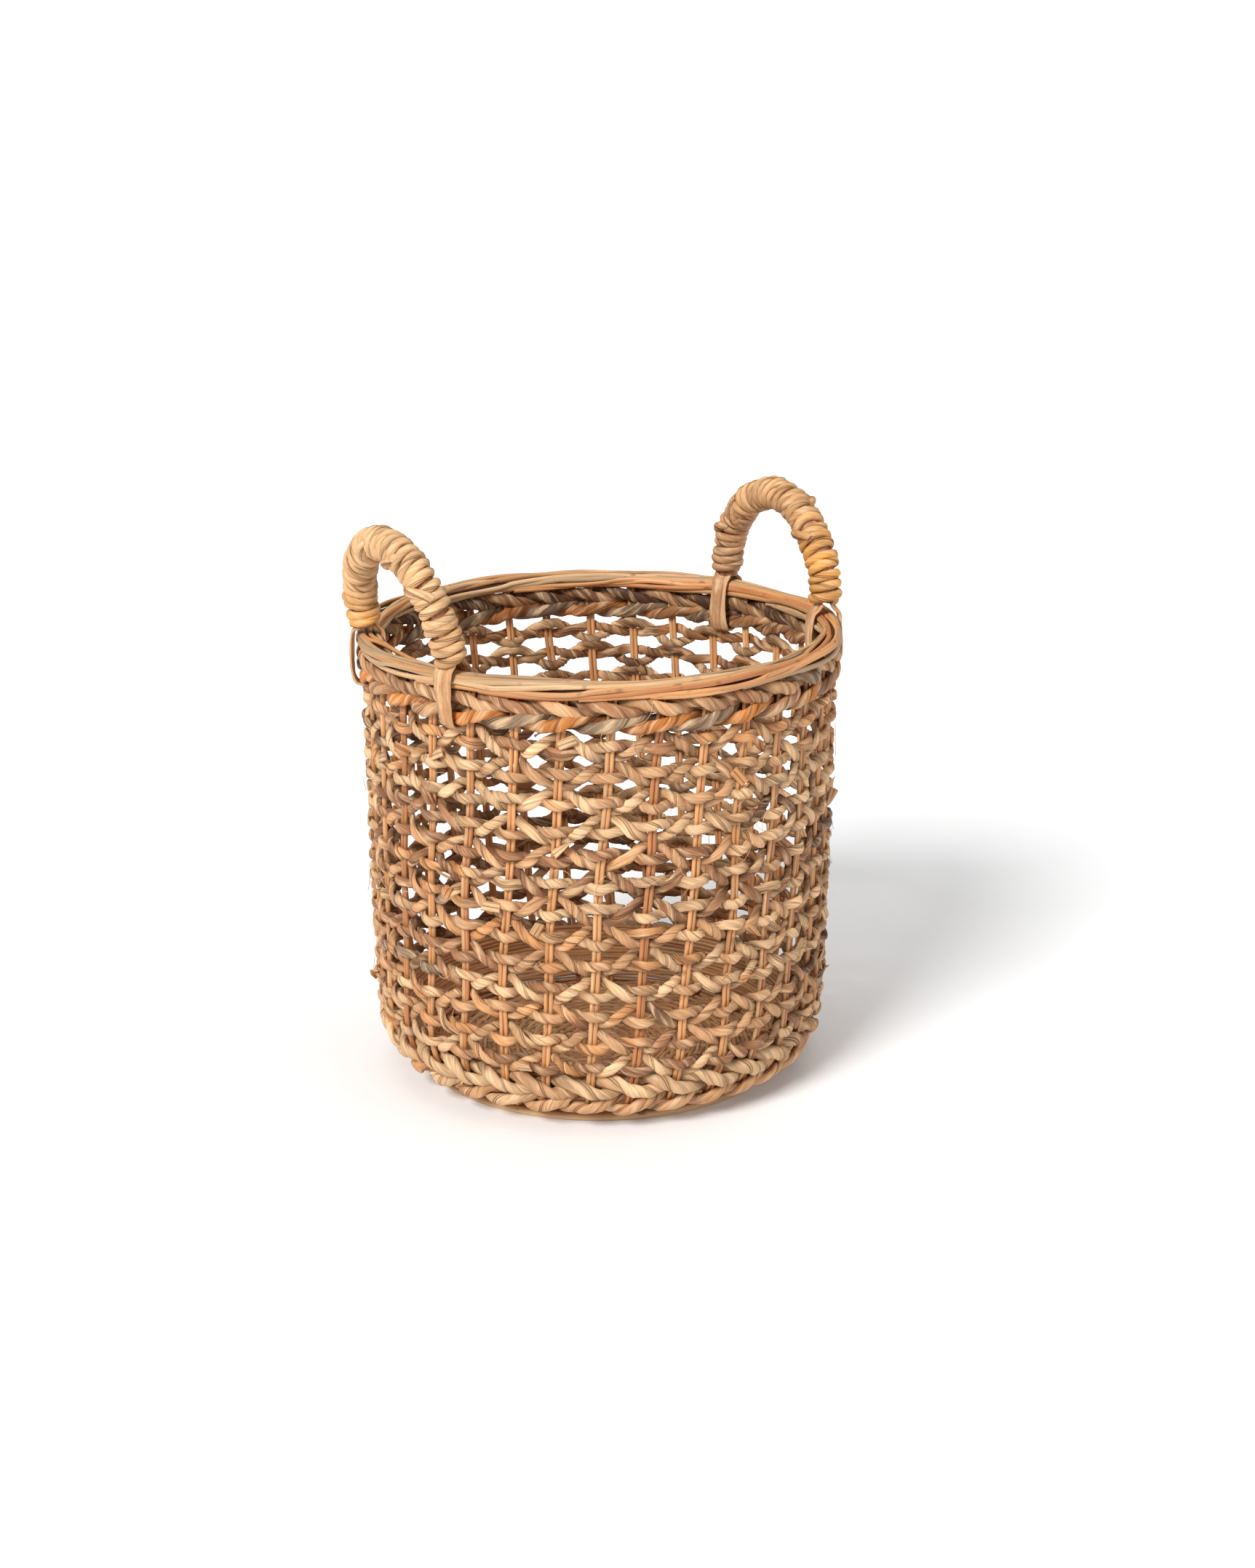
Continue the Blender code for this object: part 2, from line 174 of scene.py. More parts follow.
def leaf_tint(chance, count, length, weights, patch=60 * MM):
    """Return a colour for each of `count` places, in patches of leaf about `patch` long."""
    shades = bpy.context.scene.basket_colours
    names = list(weights)
    share = np.array([weights[name] for name in names], float)
    patches = max(1, round(length / patch))
    cuts = np.sort(chance.random(patches))
    picks = chance.choice(len(names), patches, p=share / share.sum())
    colours = np.array([list(getattr(shades, names[pick])) for pick in picks])
    colours *= chance.uniform(0.8, 1.14, (patches, 1))
    tint = colours[np.searchsorted(cuts, np.arange(count) / count) % patches]
    for _ in range(TINT_BLUR):
        tint = (np.roll(tint, 1, 0) + tint + np.roll(tint, -1, 0)) / 3
    return tint


def shaded(tint, light):
    """Return a strand's colours, lighter or darker by the light that reaches each place."""
    return tint * light[:, None] ** SHADE_POWERS


def cane_tint(chance, count, names):
    """Return one colour for a whole cane, a little lighter or darker than its kind."""
    shade = np.array(getattr(bpy.context.scene.basket_colours, names[chance.integers(len(names))]))
    return np.broadcast_to(shade * chance.uniform(0.86, 1.1), (count, 3))


# ---- sweeping strands

def strand(points, outward, closed, tint, girth=1.0, press=0.0, turn=0.0, chance=None):
    """Collect one strand's path, with its thickness, pressing, turning and colour at each point.

    With chance given, the strand also draws the mark that sets its fibres apart.
    """
    count = len(points)
    steps = np.linalg.norm(np.diff(points, axis=0), axis=1)
    return {
        "position": points, "outward": outward, "closed": closed,
        "along": np.concatenate([[0], np.cumsum(steps)]),
        "girth": np.broadcast_to(girth, count), "press": np.broadcast_to(press, count),
        "turn": np.broadcast_to(turn, count), "tint": np.broadcast_to(tint, (count, 3)),
        "mark": np.full(count, chance.random() * MARK_RANGE if chance else 0.0),
    }


def turns_along(points, pitch, closed, wander, chance):
    """Return the twist angle along a path, one turn each pitch; a closed path gets whole turns."""
    steps = np.linalg.norm(np.roll(points, -1, 0) - points, axis=1)
    along = np.concatenate([[0], np.cumsum(steps)[:-1]])
    length = steps.sum() if closed else along[-1]
    turns = round(length / pitch) if closed else length / pitch
    return TAU * turns * along / length + ripple(chance, len(points), 18, wander)


def path_mesh(name, strands):
    """Return a mesh of edges along the strands, with what the sweep needs on each point."""
    mesh = bpy.data.meshes.new(name)
    edges = []
    start = 0
    for one in strands:
        numbers = np.arange(start, start + len(one["position"]))
        pairs = np.stack([numbers[:-1], numbers[1:]], 1)
        if one["closed"]:
            pairs = np.concatenate([pairs, [[numbers[-1], numbers[0]]]])
        edges.append(pairs)
        start += len(numbers)
    edges = np.concatenate(edges)
    mesh.vertices.add(start)
    mesh.edges.add(len(edges))
    mesh.vertices.foreach_set("co", np.concatenate([s["position"] for s in strands]).ravel())
    mesh.edges.foreach_set("vertices", edges.ravel())
    for attribute, key in (("outward", "outward"), ("axis", "position"), ("tint", "tint")):
        layer = mesh.attributes.new(attribute, "FLOAT_VECTOR", "POINT")
        layer.data.foreach_set("vector", np.concatenate([s[key] for s in strands]).ravel())
    for attribute in ("along", "girth", "press", "turn", "mark"):
        layer = mesh.attributes.new(attribute, "FLOAT", "POINT")
        layer.data.foreach_set("value", np.concatenate([s[attribute] for s in strands]))
    return mesh


MIX_SOCKETS = (0, 6, 7)  # of a mix node: its factor and its two colours
MIX_OUTPUT = 2  # of a mix node: the mixed colour


class NodeBench:
    """A short way to add and join nodes of one tree."""

    def __init__(self, tree):
        self.tree = tree

    def add(self, kind, inputs=None, **settings):
        node = self.tree.nodes.new(kind)
        for key, value in settings.items():
            setattr(node, key, value)
        for key, value in (inputs or {}).items():
            self.feed(node.inputs[key], value)
        return node

    def feed(self, socket, value):
        if isinstance(value, bpy.types.NodeSocket):
            self.tree.links.new(value, socket)
        elif value is not None:
            socket.default_value = value

    def through(self, kind, socket, geometry, inputs=None, **settings):
        """Pass geometry in and out of a node by sockets of the same name."""
        return self.add(kind, {socket: geometry, **(inputs or {})}, **settings).outputs[socket]

    def maths(self, operation, first, second=None, kind="ShaderNodeMath"):
        node = self.add(kind, operation=operation)
        for socket, value in zip(node.inputs, (first, second)):
            self.feed(socket, value)
        return node.outputs["Value" if operation == "DOT_PRODUCT" else 0]

    def times(self, first, *others):
        for other in others:
            first = self.maths("MULTIPLY", first, other)
        return first

    def plus(self, first, second):
        return self.maths("ADD", first, second)

    def minus(self, first, second):
        return self.maths("SUBTRACT", first, second)

    def vectors(self, operation, first, second=None):
        return self.maths(operation, first, second, "ShaderNodeVectorMath")

    def grown(self, vector, factor):
        node = self.add("ShaderNodeVectorMath", operation="SCALE")
        self.feed(node.inputs[0], vector)
        self.feed(node.inputs["Scale"], factor)
        return node.outputs[0]

    def spread(self, value, low, high, to_low, to_high):
        node = self.add("ShaderNodeMapRange", {"Value": value, "From Min": low, "From Max": high,
                                               "To Min": to_low, "To Max": to_high})
        return node.outputs[0]

    def mixed(self, factor, first, second):
        node = self.add("ShaderNodeMix", data_type="RGBA")
        for number, value in zip(MIX_SOCKETS, (factor, first, second)):
            self.feed(node.inputs[number], value)
        return node.outputs[MIX_OUTPUT]


SWEEP_TREE = "Rolled strand"
ROLL_SPAN = 0.975  # part of a whole turn that a leaf is rolled through
CREASE = 0.55  # where a leaf is folded, as a share of its width
CREASE_SHARPNESS = 11.0
CRUMPLE_GAIN = 4.0  # from the noise's swing round its middle to a full crumple
SWEEP_INPUTS = {
    "Width": (8 * MM, "NodeSocketFloat"), "Thickness": (6 * MM, "NodeSocketFloat"),
    "Overlap": (0.0, "NodeSocketFloat"), "Groove": (0.0, "NodeSocketFloat"),
    "Sides": (14, "NodeSocketInt"), "Crumple": (0.4 * MM, "NodeSocketFloat"),
    "Crumple Scale": (170.0, "NodeSocketFloat"), "Seed": (0.0, "NodeSocketFloat"),
    "Finish": (None, "NodeSocketMaterial"),
}


def sweep_profile(bench, given):
    """Add the section: a circle, or a rolled leaf whose outer edge lies over its inner one."""
    profile = bench.add("GeometryNodeCurvePrimitiveCircle",
                        {"Resolution": given["Sides"], "Radius": 1.0}).outputs["Curve"]
    last = bench.minus(given["Sides"], 1.0)
    share = bench.maths("DIVIDE", bench.add("GeometryNodeInputIndex").outputs[0], last)
    rolled = bench.maths("GREATER_THAN", given["Overlap"], 0.0)
    even = bench.maths("DIVIDE", last, given["Sides"])
    span = bench.plus(even, bench.times(rolled, bench.minus(ROLL_SPAN, even)))
    angle = bench.times(share, bench.times(span, TAU))
    rise = bench.times(given["Overlap"], bench.minus(share, 0.5))
    from_crease = bench.times(bench.minus(share, CREASE), CREASE_SHARPNESS)
    dent = bench.maths("EXPONENT", bench.times(-1.0, from_crease, from_crease))
    reach = bench.minus(bench.plus(1.0, rise), bench.times(dent, given["Groove"]))
    place = bench.add("ShaderNodeCombineXYZ", {
        "X": bench.times(given["Thickness"], 0.5, reach, bench.maths("COSINE", angle)),
        "Y": bench.times(given["Width"], 0.5, reach, bench.maths("SINE", angle))}).outputs[0]
    profile = bench.through("GeometryNodeStoreNamedAttribute", "Geometry", profile,
                            {"Name": "lap", "Value": share}, data_type="FLOAT", domain="POINT")
    return bench.through("GeometryNodeSetPosition", "Geometry", profile, {"Position": place})


def sweep_tree():
    """Build the sweep: the section is turned along the path, pressed and crumpled."""
    tree = bpy.data.node_groups.new(SWEEP_TREE, "GeometryNodeTree")
    tree.interface.new_socket("Path", in_out="INPUT", socket_type="NodeSocketGeometry")
    for name, (default, kind) in SWEEP_INPUTS.items():
        socket = tree.interface.new_socket(name, in_out="INPUT", socket_type=kind)
        if default is not None:
            socket.default_value = default
    tree.interface.new_socket("Strand", in_out="OUTPUT", socket_type="NodeSocketGeometry")
    bench = NodeBench(tree)
    given = bench.add("NodeGroupInput").outputs

    def named(name, kind="FLOAT"):
        node = bench.add("GeometryNodeInputNamedAttribute", {"Name": name}, data_type=kind)
        return node.outputs["Attribute"]

    outward = named("outward", "FLOAT_VECTOR")
    path = bench.add("GeometryNodeMeshToCurve", {"Mesh": given["Path"]}).outputs["Curve"]
    path = bench.through("GeometryNodeSetCurveNormal", "Curve", path, {"Normal": outward},
                         mode="FREE")
    path = bench.through("GeometryNodeSetCurveRadius", "Curve", path, {"Radius": named("girth")})
    path = bench.through("GeometryNodeSetCurveTilt", "Curve", path, {"Tilt": named("turn")})
    skin = bench.add("GeometryNodeCurveToMesh", {
        "Curve": path, "Profile Curve": sweep_profile(bench, given),
        "Fill Caps": True}).outputs["Mesh"]

    here = bench.add("GeometryNodeInputPosition").outputs[0]
    off_axis = bench.vectors("SUBTRACT", here, named("axis", "FLOAT_VECTOR"))
    proud = bench.vectors("DOT_PRODUCT", off_axis, outward)
    squeeze = bench.times(proud, named("press"), -1.0)
    skin = bench.through("GeometryNodeSetPosition", "Geometry", skin,
                         {"Offset": bench.grown(outward, squeeze)})
    noise = bench.add("ShaderNodeTexNoise", {
        "Vector": here, "W": given["Seed"], "Scale": given["Crumple Scale"], "Detail": 2.0},
        noise_dimensions="4D").outputs[0]
    lift = bench.times(bench.minus(noise, 0.5), bench.times(given["Crumple"], CRUMPLE_GAIN))
    normal = bench.add("GeometryNodeInputNormal").outputs[0]
    skin = bench.through("GeometryNodeSetPosition", "Geometry", skin,
                         {"Offset": bench.grown(normal, lift)})
    for name in ("axis", "outward", "girth", "press", "turn"):
        skin = bench.through("GeometryNodeRemoveAttribute", "Geometry", skin, {"Name": name})
    skin = bench.through("GeometryNodeSetShadeSmooth", "Geometry", skin)
    skin = bench.through("GeometryNodeRealizeInstances", "Geometry", skin)
    skin = bench.through("GeometryNodeSetMaterial", "Geometry", skin,
                         {"Material": given["Finish"]})
    bench.feed(bench.add("NodeGroupOutput").inputs["Strand"], skin)
    return tree


def sweep(name, strands, finish, slot, replaced=(), body=BASKET, **sizes):
    """Sweep strands into one plain mesh piece, and hang it on the frame."""
    tree = bpy.data.node_groups.get(SWEEP_TREE) or sweep_tree()
    path = bpy.data.objects.new(name + "_path", path_mesh(name + "_path", strands))
    bpy.context.scene.collection.objects.link(path)
    modifier = path.modifiers.new("Sweep", "NODES")
    modifier.node_group = tree
    sockets = {item.name: item.identifier for item in tree.interface.items_tree
               if item.in_out == "INPUT"}
    modifier[sockets["Finish"]] = finish
    for key, value in sizes.items():
        modifier[sockets[key.replace("_", " ").title()]] = value
    bpy.context.view_layer.update()
    evaluated = path.evaluated_get(bpy.context.evaluated_depsgraph_get())
    mesh = bpy.data.meshes.new_from_object(evaluated)
    mesh.name = name
    old = path.data
    bpy.data.objects.remove(path)
    bpy.data.meshes.remove(old)
    piece = bpy.data.objects.new(name, mesh)
    bpy.context.scene.collection.objects.link(piece)
    if replaced:
        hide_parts(*replaced)
    if body:
        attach(piece, body)
    return piece


# ---- finishes

MARK_STEP = 17.0  # in the noise, from one strand's mark to the next
WARMTH = (1.22, 1.5)  # powers of green and blue in the shade, against red


def new_finish(name):
    """Return a new material, its node bench, its shader and its attribute reader."""
    finish = bpy.data.materials.new(name)
    finish.use_nodes = True
    bench = NodeBench(finish.node_tree)

    def read(attribute, output="Fac"):
        return bench.add("ShaderNodeAttribute", attribute_name=attribute).outputs[output]

    return finish, bench, finish.node_tree.nodes["Principled BSDF"], read


def fibre_noise(bench, read, across, along, detail):
    """Return noise that is drawn out along the strand's leaf."""
    place = bench.add("ShaderNodeCombineXYZ", {
        "X": bench.times(read("lap"), across), "Y": bench.times(read("along"), along),
        "Z": bench.times(read("mark"), MARK_STEP)}).outputs[0]
    return bench.add("ShaderNodeTexNoise", {"Vector": place, "Scale": 1.0, "Detail": detail,
                                            "Roughness": 0.6}).outputs[0]


def warm_shade(bench, colour, shade):
    """Darken a colour so that its shade turns brown instead of grey."""
    warm = bench.add("ShaderNodeCombineXYZ", {
        "X": shade, "Y": bench.maths("POWER", shade, WARMTH[0]),
        "Z": bench.maths("POWER", shade, WARMTH[1])}).outputs[0]
    return bench.vectors("MULTIPLY", colour, warm)


def surface(bench, shader, colour, rough, relief, distance, height):
    """Feed a finish's colour, its roughness from its grain, and its bumps."""
    bench.feed(shader.inputs["Base Color"], colour)
    bench.feed(shader.inputs["Roughness"], rough)
    bump = bench.add("ShaderNodeBump", {"Height": height, "Strength": relief,
                                        "Distance": distance})
    bench.feed(shader.inputs["Normal"], bump.outputs[0])


def leaf_finish(name, fibres=46.0, relief=0.5, stain_and_shade=0.6, contrast=1.0, crease_shade=0.45):
    """Dried twisted leaf: fibres along the roll, painted shade in its creases and along the seam
    of its roll, stains, and pale worn places that also serve as painted highlight.
    """
    shades = bpy.context.scene.basket_colours
    finish, bench, shader, read = new_finish(name)
    fine = fibre_noise(bench, read, fibres, 60.0, 4.0)
    coarse = fibre_noise(bench, read, fibres / 3, 26.0, 3.0)
    broad = fibre_noise(bench, read, 4.0, 50.0, 3.0)
    shade = bench.times(
        bench.spread(fine, 0.32, 0.68, 1 - 0.2 * contrast, 1 + 0.14 * contrast),
        bench.spread(coarse, 0.32, 0.68, 1 - 0.26 * contrast, 1 + 0.18 * contrast))
    lap = read("lap")
    # Painted shade along the seam where the rolled leaf's outer edge lies over its inner one.
    edge = bench.maths("MINIMUM", lap, bench.minus(1.0, lap))
    shade = bench.times(shade, bench.spread(edge, 0.0, 0.06, 0.22, 1.0))
    # Painted shade in the fold's crease, darkest where the broad noise is low.
    folded = bench.spread(broad, 0.4, 0.55, crease_shade, 1.0)
    from_crease = bench.maths("ABSOLUTE", bench.minus(lap, CREASE))
    shade = bench.times(shade, bench.spread(from_crease, 0.0, 0.04, folded, 1.0))
    # Pale patches of wear that also serve as painted highlight.
    wear_and_highlight = bench.spread(broad, 0.49, 0.67, 0.0, 0.65)
    colour = bench.mixed(wear_and_highlight, read("tint", "Vector"), (*shades.wear_and_highlight, 1))
    stained = bench.spread(fibre_noise(bench, read, 2.2, 24.0, 4.0), 0.54, 0.7, 0.0, stain_and_shade)
    colour = bench.mixed(stained, colour, (*shades.stain_and_shade, 1))
    shader.inputs["Specular IOR Level"].default_value = 0.34
    surface(bench, shader, warm_shade(bench, colour, shade),
            bench.spread(fine, 0.3, 0.7, 0.45, 0.75), relief, 0.6 * MM,
            bench.plus(bench.times(fine, 0.5), bench.times(coarse, 0.8)))
    return finish


def cane_finish(name, gloss=0.42):
    """Peeled cane: long grain, darker joints and a soft satin."""
    shades = bpy.context.scene.basket_colours
    finish, bench, shader, read = new_finish(name)
    grain = fibre_noise(bench, read, 16.0, 24.0, 4.0)
    slow = fibre_noise(bench, read, 1.2, 14.0, 2.0)
    shade = bench.times(bench.spread(grain, 0.3, 0.7, 0.74, 1.14),
                        bench.spread(slow, 0.3, 0.7, 0.8, 1.14))
    knots = bench.spread(fibre_noise(bench, read, 0.4, 70.0, 1.0), 0.66, 0.78, 0.0, 0.6)
    colour = bench.mixed(knots, read("tint", "Vector"), (*shades.stain_and_shade, 1))
    surface(bench, shader, warm_shade(bench, colour, shade),
            bench.spread(grain, 0.3, 0.7, gloss, gloss + 0.2), 0.3, 0.3 * MM, grain)
    return finish


# ---- stakes

STAKE_TOP = 4 * MM  # of a stake's end below the border's top
STAKE_TOE = 14 * MM  # length that a stake runs in under the base
STAKE_STEP = 6 * MM  # between the points along a stake


def stake_strands(number, chance, cane_width):
    """Return the two canes of one stake, side by side from the border to under the base."""
    depth = np.arange(STAKE_TOP, WALL_LENGTH + STAKE_TOE, STAKE_STEP)
    count = len(depth)
    bow = ripple(chance, count, 3, 0.7 * MM)
    strands = []
    for hand in (-1, 1):
        radius = np.interp(depth, DEPTH, RADIUS)
        side = hand * cane_width * 0.49 + bow + ripple(chance, count, 5, 0.15 * MM)
        points, outward = wall(depth, (number + 0.5) * BAY + side / radius,
                               ripple(chance, count, 4, 0.25 * MM))
        girth = 1 + ripple(chance, count, 8, 0.05)
        tint = cane_tint(chance, count, ("cane", "cane", "cane_red", "cane_pale"))
        strands.append(strand(points, outward, False, tint, girth, chance=chance))
    return strands


def make_stakes(settings):
    finish = cane_finish("peeled_stake_cane")
    for number, node in enumerate(STAKE_NODES):
        chance = np.random.default_rng(SEEDS["stakes"] + number)
        width = settings.stake_cane_width
        sweep(f"{node}_canes", stake_strands(number, chance, width), finish, "stake_cane", [node],
              width=width, thickness=width * 0.95, sides=8, crumple=0.05 * MM, seed=float(number))


# ---- open rows

OPEN_PALETTE = {"tan": 5, "beige": 4, "brown": 3, "warm": 2, "grey": 0.3, "dark": 0.3}


def row_depth(node):
    low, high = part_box(node)
    return depth_of((low.z + high.z) / 2)


ROW_DEPTHS = [row_depth(node) for node in ROW_NODES]
ROW_PITCH = (ROW_DEPTHS[-1] - ROW_DEPTHS[0]) / (len(ROW_DEPTHS) - 1)


def at_stakes(values, share):
    """Blend values given at the stakes over the places between them, flat at each stake."""
    number = np.floor(share).astype(int)
    ease = (1 - np.cos(math.pi * (share - number))) / 2
    return values[number % STAKES] * (1 - ease) + values[(number + 1) % STAKES] * ease


def open_row_strands(number, settings, chance):
    """Return the level outer strand and the zigzag inner strand of one open row."""
    count = STAKES * STEPS_PER_BAY
    share = np.arange(count) / STEPS_PER_BAY
    angle = (share + 0.5) * BAY
    sign = np.where((np.arange(STAKES) + number) % 2 == 0, 1, -1)
    depth = ROW_DEPTHS[number] + ripple(chance, count, 7, 0.9 * MM)
    at_stake = np.cos(TAU * share)
    middle = (settings.stand_out - settings.cross_out) / 2
    swing = (settings.stand_out + settings.cross_out) / 2
    level = sign * (settings.outer_wave + chance.normal(0, 1.0 * MM, STAKES))
    zigzag = -sign * (settings.inner_wave * ROW_PITCH + chance.normal(0, 1.2 * MM, STAKES))
    strands = []
    for wave, side, flat in ((level, 1, 0.48), (zigzag, -1, 0.42)):
        out = side * (middle + swing * at_stake) + ripple(chance, count, 60, 0.35 * MM)
        run = at_stakes(wave, share) + ripple(chance, count, 70, 0.35 * MM)
        points, outward = wall(depth + run, angle, out)
        girth = (1 + side * 0.18 * at_stake + ripple(chance, count, 64, 0.1)
                 + ripple(chance, count, 11, 0.08))
        press = flat + 0.12 * side * at_stake + ripple(chance, count, 40, 0.05)
        turn = turns_along(points, chance.uniform(0.8, 1.25) * settings.twist_pitch, True, 1.7,
                           chance)
        tint = leaf_tint(chance, count, TAU * TOP_RADIUS, OPEN_PALETTE)
        strands.append(strand(points, outward, True, shaded(tint, 0.77 + 0.37 * side * at_stake),
                              girth, press, turn, chance))
    return strands


def make_open_rows(settings):
    finish = leaf_finish("twisted_leaf")
    for number, node in enumerate(ROW_NODES):
        chance = np.random.default_rng(SEEDS["rows"] + number)
        sweep(f"{node}_strands", open_row_strands(number, settings, chance), finish,
              "seagrass_weaver", [node], width=settings.strand_width,
              thickness=settings.strand_thickness, overlap=0.12, groove=0.05, sides=14,
              crumple=0.55 * MM, crumple_scale=200.0, seed=float(number))


# ---- close bands

# How thick each band's strands are for the height of a course, and for each course from the
# top the direction of its slant and the colours of its two strands
FULLNESS = {"upper_band": (0.86, 0.8), "lower_band": (0.7, 0.62)}
COURSES = {
    "upper_band": [(1, {"tan": 4, "brown": 3, "grey": 0.6}, {"tan": 3, "brown": 3, "dark": 0.6}),
                   (-1, {"orange": 5, "warm": 2}, {"grey": 3, "brown": 2, "dark": 1, "tan": 1})],
    "lower_band": [(1, {"tan": 3, "beige": 4}, {"beige": 5, "tan": 3, "brown": 0.5}),
                   (-1, {"tan": 4, "warm": 2, "brown": 1}, {"beige": 5, "tan": 3})],
}


COURSE_LIFT = 0.27  # rise and fall of a strand, in heights of its course
COURSE_REACH = 5.4 * MM  # of a strand's middle to each side of the stakes
COURSE_OFFSET = 0.4 * MM  # of the whole course outwards
COURSE_TWIST = (28, 36)  # least and most length of one turn of the leaf, in mm


def course_strands(depth, hand, height, chance, palettes):
    """Return the two thick strands of one close course, twined with the given hand."""
    count = STAKES * STEPS_PER_BAY
    share = np.arange(count) / STEPS_PER_BAY
    depth = depth + ripple(chance, count, 9, 0.5 * MM)
    strands = []
    for number, palette in enumerate(palettes):
        phase = math.pi * (share + number)
        lift = hand * height * COURSE_LIFT * np.sin(phase) + ripple(chance, count, 60, 0.4 * MM)
        out = (COURSE_REACH * np.cos(phase) + COURSE_OFFSET
               + ripple(chance, count, 50, 0.4 * MM))
        points, outward = wall(depth + lift, (share + 0.5) * BAY, out)
        girth = (1 + 0.08 * np.cos(phase) + ripple(chance, count, 60, 0.08)
                 + ripple(chance, count, 12, 0.07))
        press = 0.34 + 0.12 * np.cos(2 * phase)
        pitch = hand * chance.uniform(*COURSE_TWIST) * MM
        turn = turns_along(points, pitch, True, 0.8, chance)
        tint = leaf_tint(chance, count, TAU * TOP_RADIUS, palette, 90 * MM)
        strands.append(strand(points, outward, True, shaded(tint, 0.83 + 0.3 * np.cos(phase)),
                              girth, press, turn, chance))
    return strands


def make_close_bands(settings):
    finish = leaf_finish("thick_twisted_leaf", 60.0, 0.6)
    for seed, (node, courses) in enumerate(COURSES.items()):
        chance = np.random.default_rng(SEEDS["bands"] + seed)
        low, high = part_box(node)
        top, bottom = depth_of(high.z), depth_of(low.z + 2 * MM)
        height = (bottom - top) / 2
        strands = []
        for number, (hand, *palettes) in enumerate(courses):
            middle = top + height * (number + 0.5)
            strands += course_strands(middle, hand, height, chance, palettes)
        wide, thick = FULLNESS[node]
        sweep(f"{node}_strands", strands, finish, "band_weaver", [node], width=height * wide,
              thickness=height * thick, overlap=0.1, groove=0.05, sides=16,
              crumple=settings.band_crumple, crumple_scale=150.0, seed=float(seed))


# ---- border

BORDER_HALF_WIDTH = 7.4 * MM
BORDER_HALF_HEIGHT = 5.2 * MM
BORDER_START = math.radians(-62)  # of a cane, round the section from level outside
BORDER_SWEEP = math.radians(304)  # of a cane round the section, over the top to the inside
BORDER_SQUARENESS = 0.62  # 1 is an ellipse, less is a fuller section
BORDER_STEPS = 180  # points along one cane
BORDER_WEAVES = 5  # times that a cane rises over its neighbours
BORDER_TIP = 0.03  # share of a cane's length over which its ends taper
BORDER_SHADE_CORE = (7.4 * MM, 11.6 * MM)  # width and thickness of the dark core under the canes, painted shade in the gaps between them
RING_STEPS = 256  # points round a whole ring
RING_ANGLES = np.arange(RING_STEPS) / RING_STEPS * TAU


def border_section(share):
    """Return how far out and up a cane's middle lies, round the border from outside to inside."""
    turn = BORDER_START + BORDER_SWEEP * share
    cos, sin = np.cos(turn), np.sin(turn)
    return (BORDER_HALF_WIDTH * np.sign(cos) * np.abs(cos) ** BORDER_SQUARENESS,
            BORDER_HALF_HEIGHT * np.sign(sin) * np.abs(sin) ** BORDER_SQUARENESS)


def make_border(settings):
    finish = cane_finish("border_cane_satin", 0.4)
    chance = np.random.default_rng(SEEDS["border"])
    middle = (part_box("border_cap")[1].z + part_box("border_outer")[0].z) / 2
    strands = []
    canes = settings.border_canes
    count = BORDER_STEPS
    share = np.linspace(0, 1, count)
    for number in range(canes):
        span = settings.border_span * chance.uniform(0.92, 1.08)
        angle = (number + chance.uniform(-0.25, 0.25)) * TAU / canes + span * share
        out, up = border_section(0.02 + 0.96 * share + ripple(chance, count, 8, 0.016))
        weave = np.sin(TAU * (share * BORDER_WEAVES + number * 0.5 + chance.uniform(-0.1, 0.1)))
        layer = 1.02 + 0.17 * weave + ripple(chance, count, 6, 0.03)
        points, across = ring(TOP_RADIUS + out * layer, middle + up * layer, angle)
        length = np.hypot(out, up)
        outward = across * (out / length)[:, None]
        outward[:, 2] = up / length
        taper = np.clip(np.minimum(share, 1 - share) / BORDER_TIP, 0.3, 1)
        girth = taper * (1 + 0.14 * weave + ripple(chance, count, 8, 0.08))
        girth = girth * chance.uniform(0.9, 1.1)
        kinds = ("border_tan", "border_tan", "border_pale", "border_grey", "cane_red", "cane")
        tint = cane_tint(chance, count, kinds)
        strands.append(strand(points, outward, False, tint, girth, 0.1, chance=chance))
    width = settings.border_cane_width
    sweep("border_canes", strands, finish, "border_cane",
          ["border_outer", "border_inner", "border_cap"], width=width, thickness=width * 0.86,
          sides=8, crumple=0.14 * MM, seed=7.0)
    # A dark core round the border, in the stain colour, as painted shade in the gaps between the
    # canes.
    points, outward = ring(TOP_RADIUS, middle, RING_ANGLES)
    core = strand(points, outward, True, bpy.context.scene.basket_colours.stain_and_shade)
    sweep("border_core", [core], finish, "border_cane", width=BORDER_SHADE_CORE[0],
          thickness=BORDER_SHADE_CORE[1], sides=10, crumple=0.2 * MM, seed=8.0)


# ---- base

REED_STEP = 3.7 * MM
REED_WIDTH = 3.5 * MM
REED_PALETTE = {"reed": 5, "beige": 2, "tan": 1}
BASE_EYE = 2.4 * MM  # radius of the innermost round
CORNER_ROUND = (2 * MM, 3.4 * MM)  # out from and above the last flat round, under the stakes
LINING_TOP = 45 * MM  # height to which the rounds climb inside the lower band
LINING_INSETS = (3.6 * MM, 10.4 * MM)  # from the stakes' middle, at the foot and higher up
LINING_CLIMB = 22 * MM  # length along the wall over which the inset grows
RIB_STOPS = (3 * MM, 24 * MM, 58 * MM)  # inner ends of every fourth rib, every second, the rest
RIB_STEPS = 24  # points along one rib
FOOT_CANES = (3.1 * MM, 7.6 * MM)  # middles of the foot ring's canes, in from its outer edge
FOOT_CANE_HEIGHT = 3.2 * MM


def ribs_at(radius):
    """Return how many ribs of the base reach a radius."""
    if radius > RIB_STOPS[2]:
        return STAKES
    return STAKES // 2 if radius > RIB_STOPS[1] else STAKES // 4


